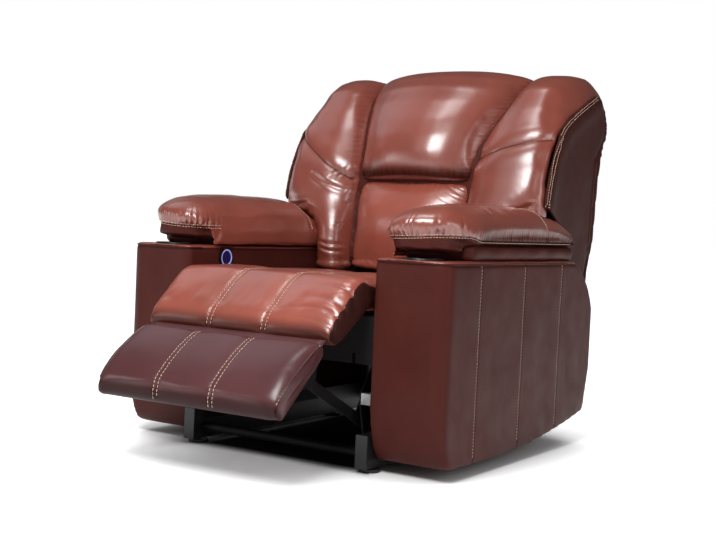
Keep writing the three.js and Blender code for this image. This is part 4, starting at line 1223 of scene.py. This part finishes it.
def piping_row(side, sign):
    """Line under an arm's top edge, round the front and back along the outside."""
    turn_at, level = 104, ARM_RIM + 4
    path = [
        (sign * (PAD_MIDDLE - 150 * math.cos(a)), turn_at - 150 * math.sin(a), level)
        for a in np.linspace(0.35, math.pi, 60)
    ]
    path += [(sign * 550, turn_at + 12 * k, level) for k in range(1, 52)]
    aims = [Vector((sign * PAD_MIDDLE, max(p[1], turn_at), level)) - Vector(p) for p in path]
    return on_surface(arms[side], path, aims)


def nose_row(side, sign, lift, last, whole):
    """Seam round a pad's nose and, where whole, on along the pad's outside."""
    path, aims = [], []
    for a in np.linspace(-1.5, last, 70):
        y = NOSE_AT - NOSE_LENGTH * math.cos(a)
        x = PAD_MIDDLE + PAD_HALF * math.sin(a)
        level = pad_seam(x, y) + lift
        path.append((sign * (PAD_MIDDLE + 175 * math.sin(a)), NOSE_AT - 215 * math.cos(a), level))
        aims.append((-sign * math.sin(a), math.cos(a), 0))
    if whole:
        for y in np.arange(NOSE_AT + 6, PAD_REAR, 6):
            path.append((sign * (PAD_MIDDLE + 175), y, pad_seam(ARM_OUTER, y) + lift))
            aims.append((-sign, 0, 0))
    return on_surface(pads[side], path, aims)


def crown_row(side, sign):
    """Seam over a pad's crown."""
    path, aims = [], []
    for a in np.linspace(math.radians(188), math.radians(-6), 80):
        x, z = math.cos(a), math.sin(a)
        path.append((sign * (PAD_MIDDLE + 160 * x), pad_arc(x), 605 + 150 * z))
        aims.append((-sign * x, 0, -z))
    return on_surface(pads[side], path, aims)


def panel_rows(side, sign):
    """Two rows behind the seam of the back's side panel."""
    rows = []
    line = dense([(0, y, z) for y, z in SIDE_SEAM])
    for offset in (8, 15):
        path = []
        for i, point in enumerate(line):
            along = heading(line, i)
            spot = point + Vector((0, along.z, -along.y)) * offset
            path.append((sign * 520, spot.y, spot.z))
        rows.append(on_surface(sides[side], path, (-sign, 0, 0)))
    return rows


for side, sign in (("r", 1), ("l", -1)):
    stitches(f"arm_stitches_{side}", arm_rows(side, sign), "base", pitch=8.5, length=6.0, radius=0.75)
    welt(f"arm_piping_{side}", piping_row(side, sign), 1.9, HIDE_DARK, "base")
    # The pad's seam is doubled round the nose
    rows = [nose_row(side, sign, -3.5, 1.5, True), nose_row(side, sign, 3.5, 1.3, False)]
    rows.append(crown_row(side, sign))
    stitches(f"pad_stitches_{side}", rows, "base", pitch=8.0, length=6.0, radius=0.8)
    stitches(f"side_stitches_{side}", panel_rows(side, sign), "back", pitch=8.0, length=6.0, radius=0.8)

# Row round the outside back panel
border = [(-433, 354), (433, 354), (433, 850), (-433, 850), (-433, 354)]
path = []
for (x0, z0), (x1, z1) in zip(border, border[1:]):
    count = int(math.hypot(x1 - x0, z1 - z0) / 6)
    path += [(x0 + (x1 - x0) * k / count, 1080, z0 + (z1 - z0) * k / count) for k in range(count)]
stitches("back_stitches", [on_surface(outside, path, (0, -1, 0))], "back", pitch=9.0)

# Leather strip that closes the fold between the front roll and the footrest

STRIP_HALF = 268
STRIP_THICK = 3
strip_line = [(-132, 352), (-142, 344), (-152, 334), (-162, 326), (-172, 318)]
verts, faces = [], []
columns = np.linspace(-STRIP_HALF, STRIP_HALF, 25)
for level in (0, -STRIP_THICK):
    for y, z in strip_line:
        verts += [here(x, y, z + level) for x in columns]
count, rows_in = len(columns), len(strip_line)
for level in (0, 1):
    base = level * count * rows_in
    for i in range(rows_in - 1):
        for j in range(count - 1):
            a = base + i * count + j
            quad = (a, a + count, a + count + 1, a + 1)
            faces.append(quad if level == 0 else quad[::-1])
rim = list(range(count)) + [i * count + count - 1 for i in range(1, rows_in)]
rim += [(rows_in - 1) * count + j for j in range(count - 2, -1, -1)]
rim += [i * count for i in range(rows_in - 2, 0, -1)]
for a, b in zip(rim, rim[1:] + rim[:1]):
    faces.append((a, b, b + count * rows_in, a + count * rows_in))
strip = small_piece("fold_strip", verts, faces, HIDE_FOOT)
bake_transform(strip)

# Dust cloth between the rear apron and the arms

for side, sign in (("r", 1), ("l", -1)):
    edges = [(sign * 280, 62), (sign * 299, 62), (sign * 299, 150), (sign * 280, 150)]
    cloth = link(f"apron_cloth_{side}", prism(edges[::-sign], 871, 882))
    cloth.data.materials.append(WEBBING)
    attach(cloth, "base")

# Rivets of the linkage

LIFT, KNEE, BRACKET, GUIDE, GUIDE_END = (214, 315), (95, 106.5), (-165, 235), (176, 328), (56, 126)
rivets("lift_rivets", 244, [LIFT], "lift_links")
rivets("reach_rivets", 239, [KNEE, BRACKET], "reach_links")
rivets("guide_rivets", 232, [GUIDE, GUIDE_END], "guide_links")
rivets("plate_bolts", 254, [(110, 336), (330, 336), (560, 336), (420, 110)], "base", 6.5)
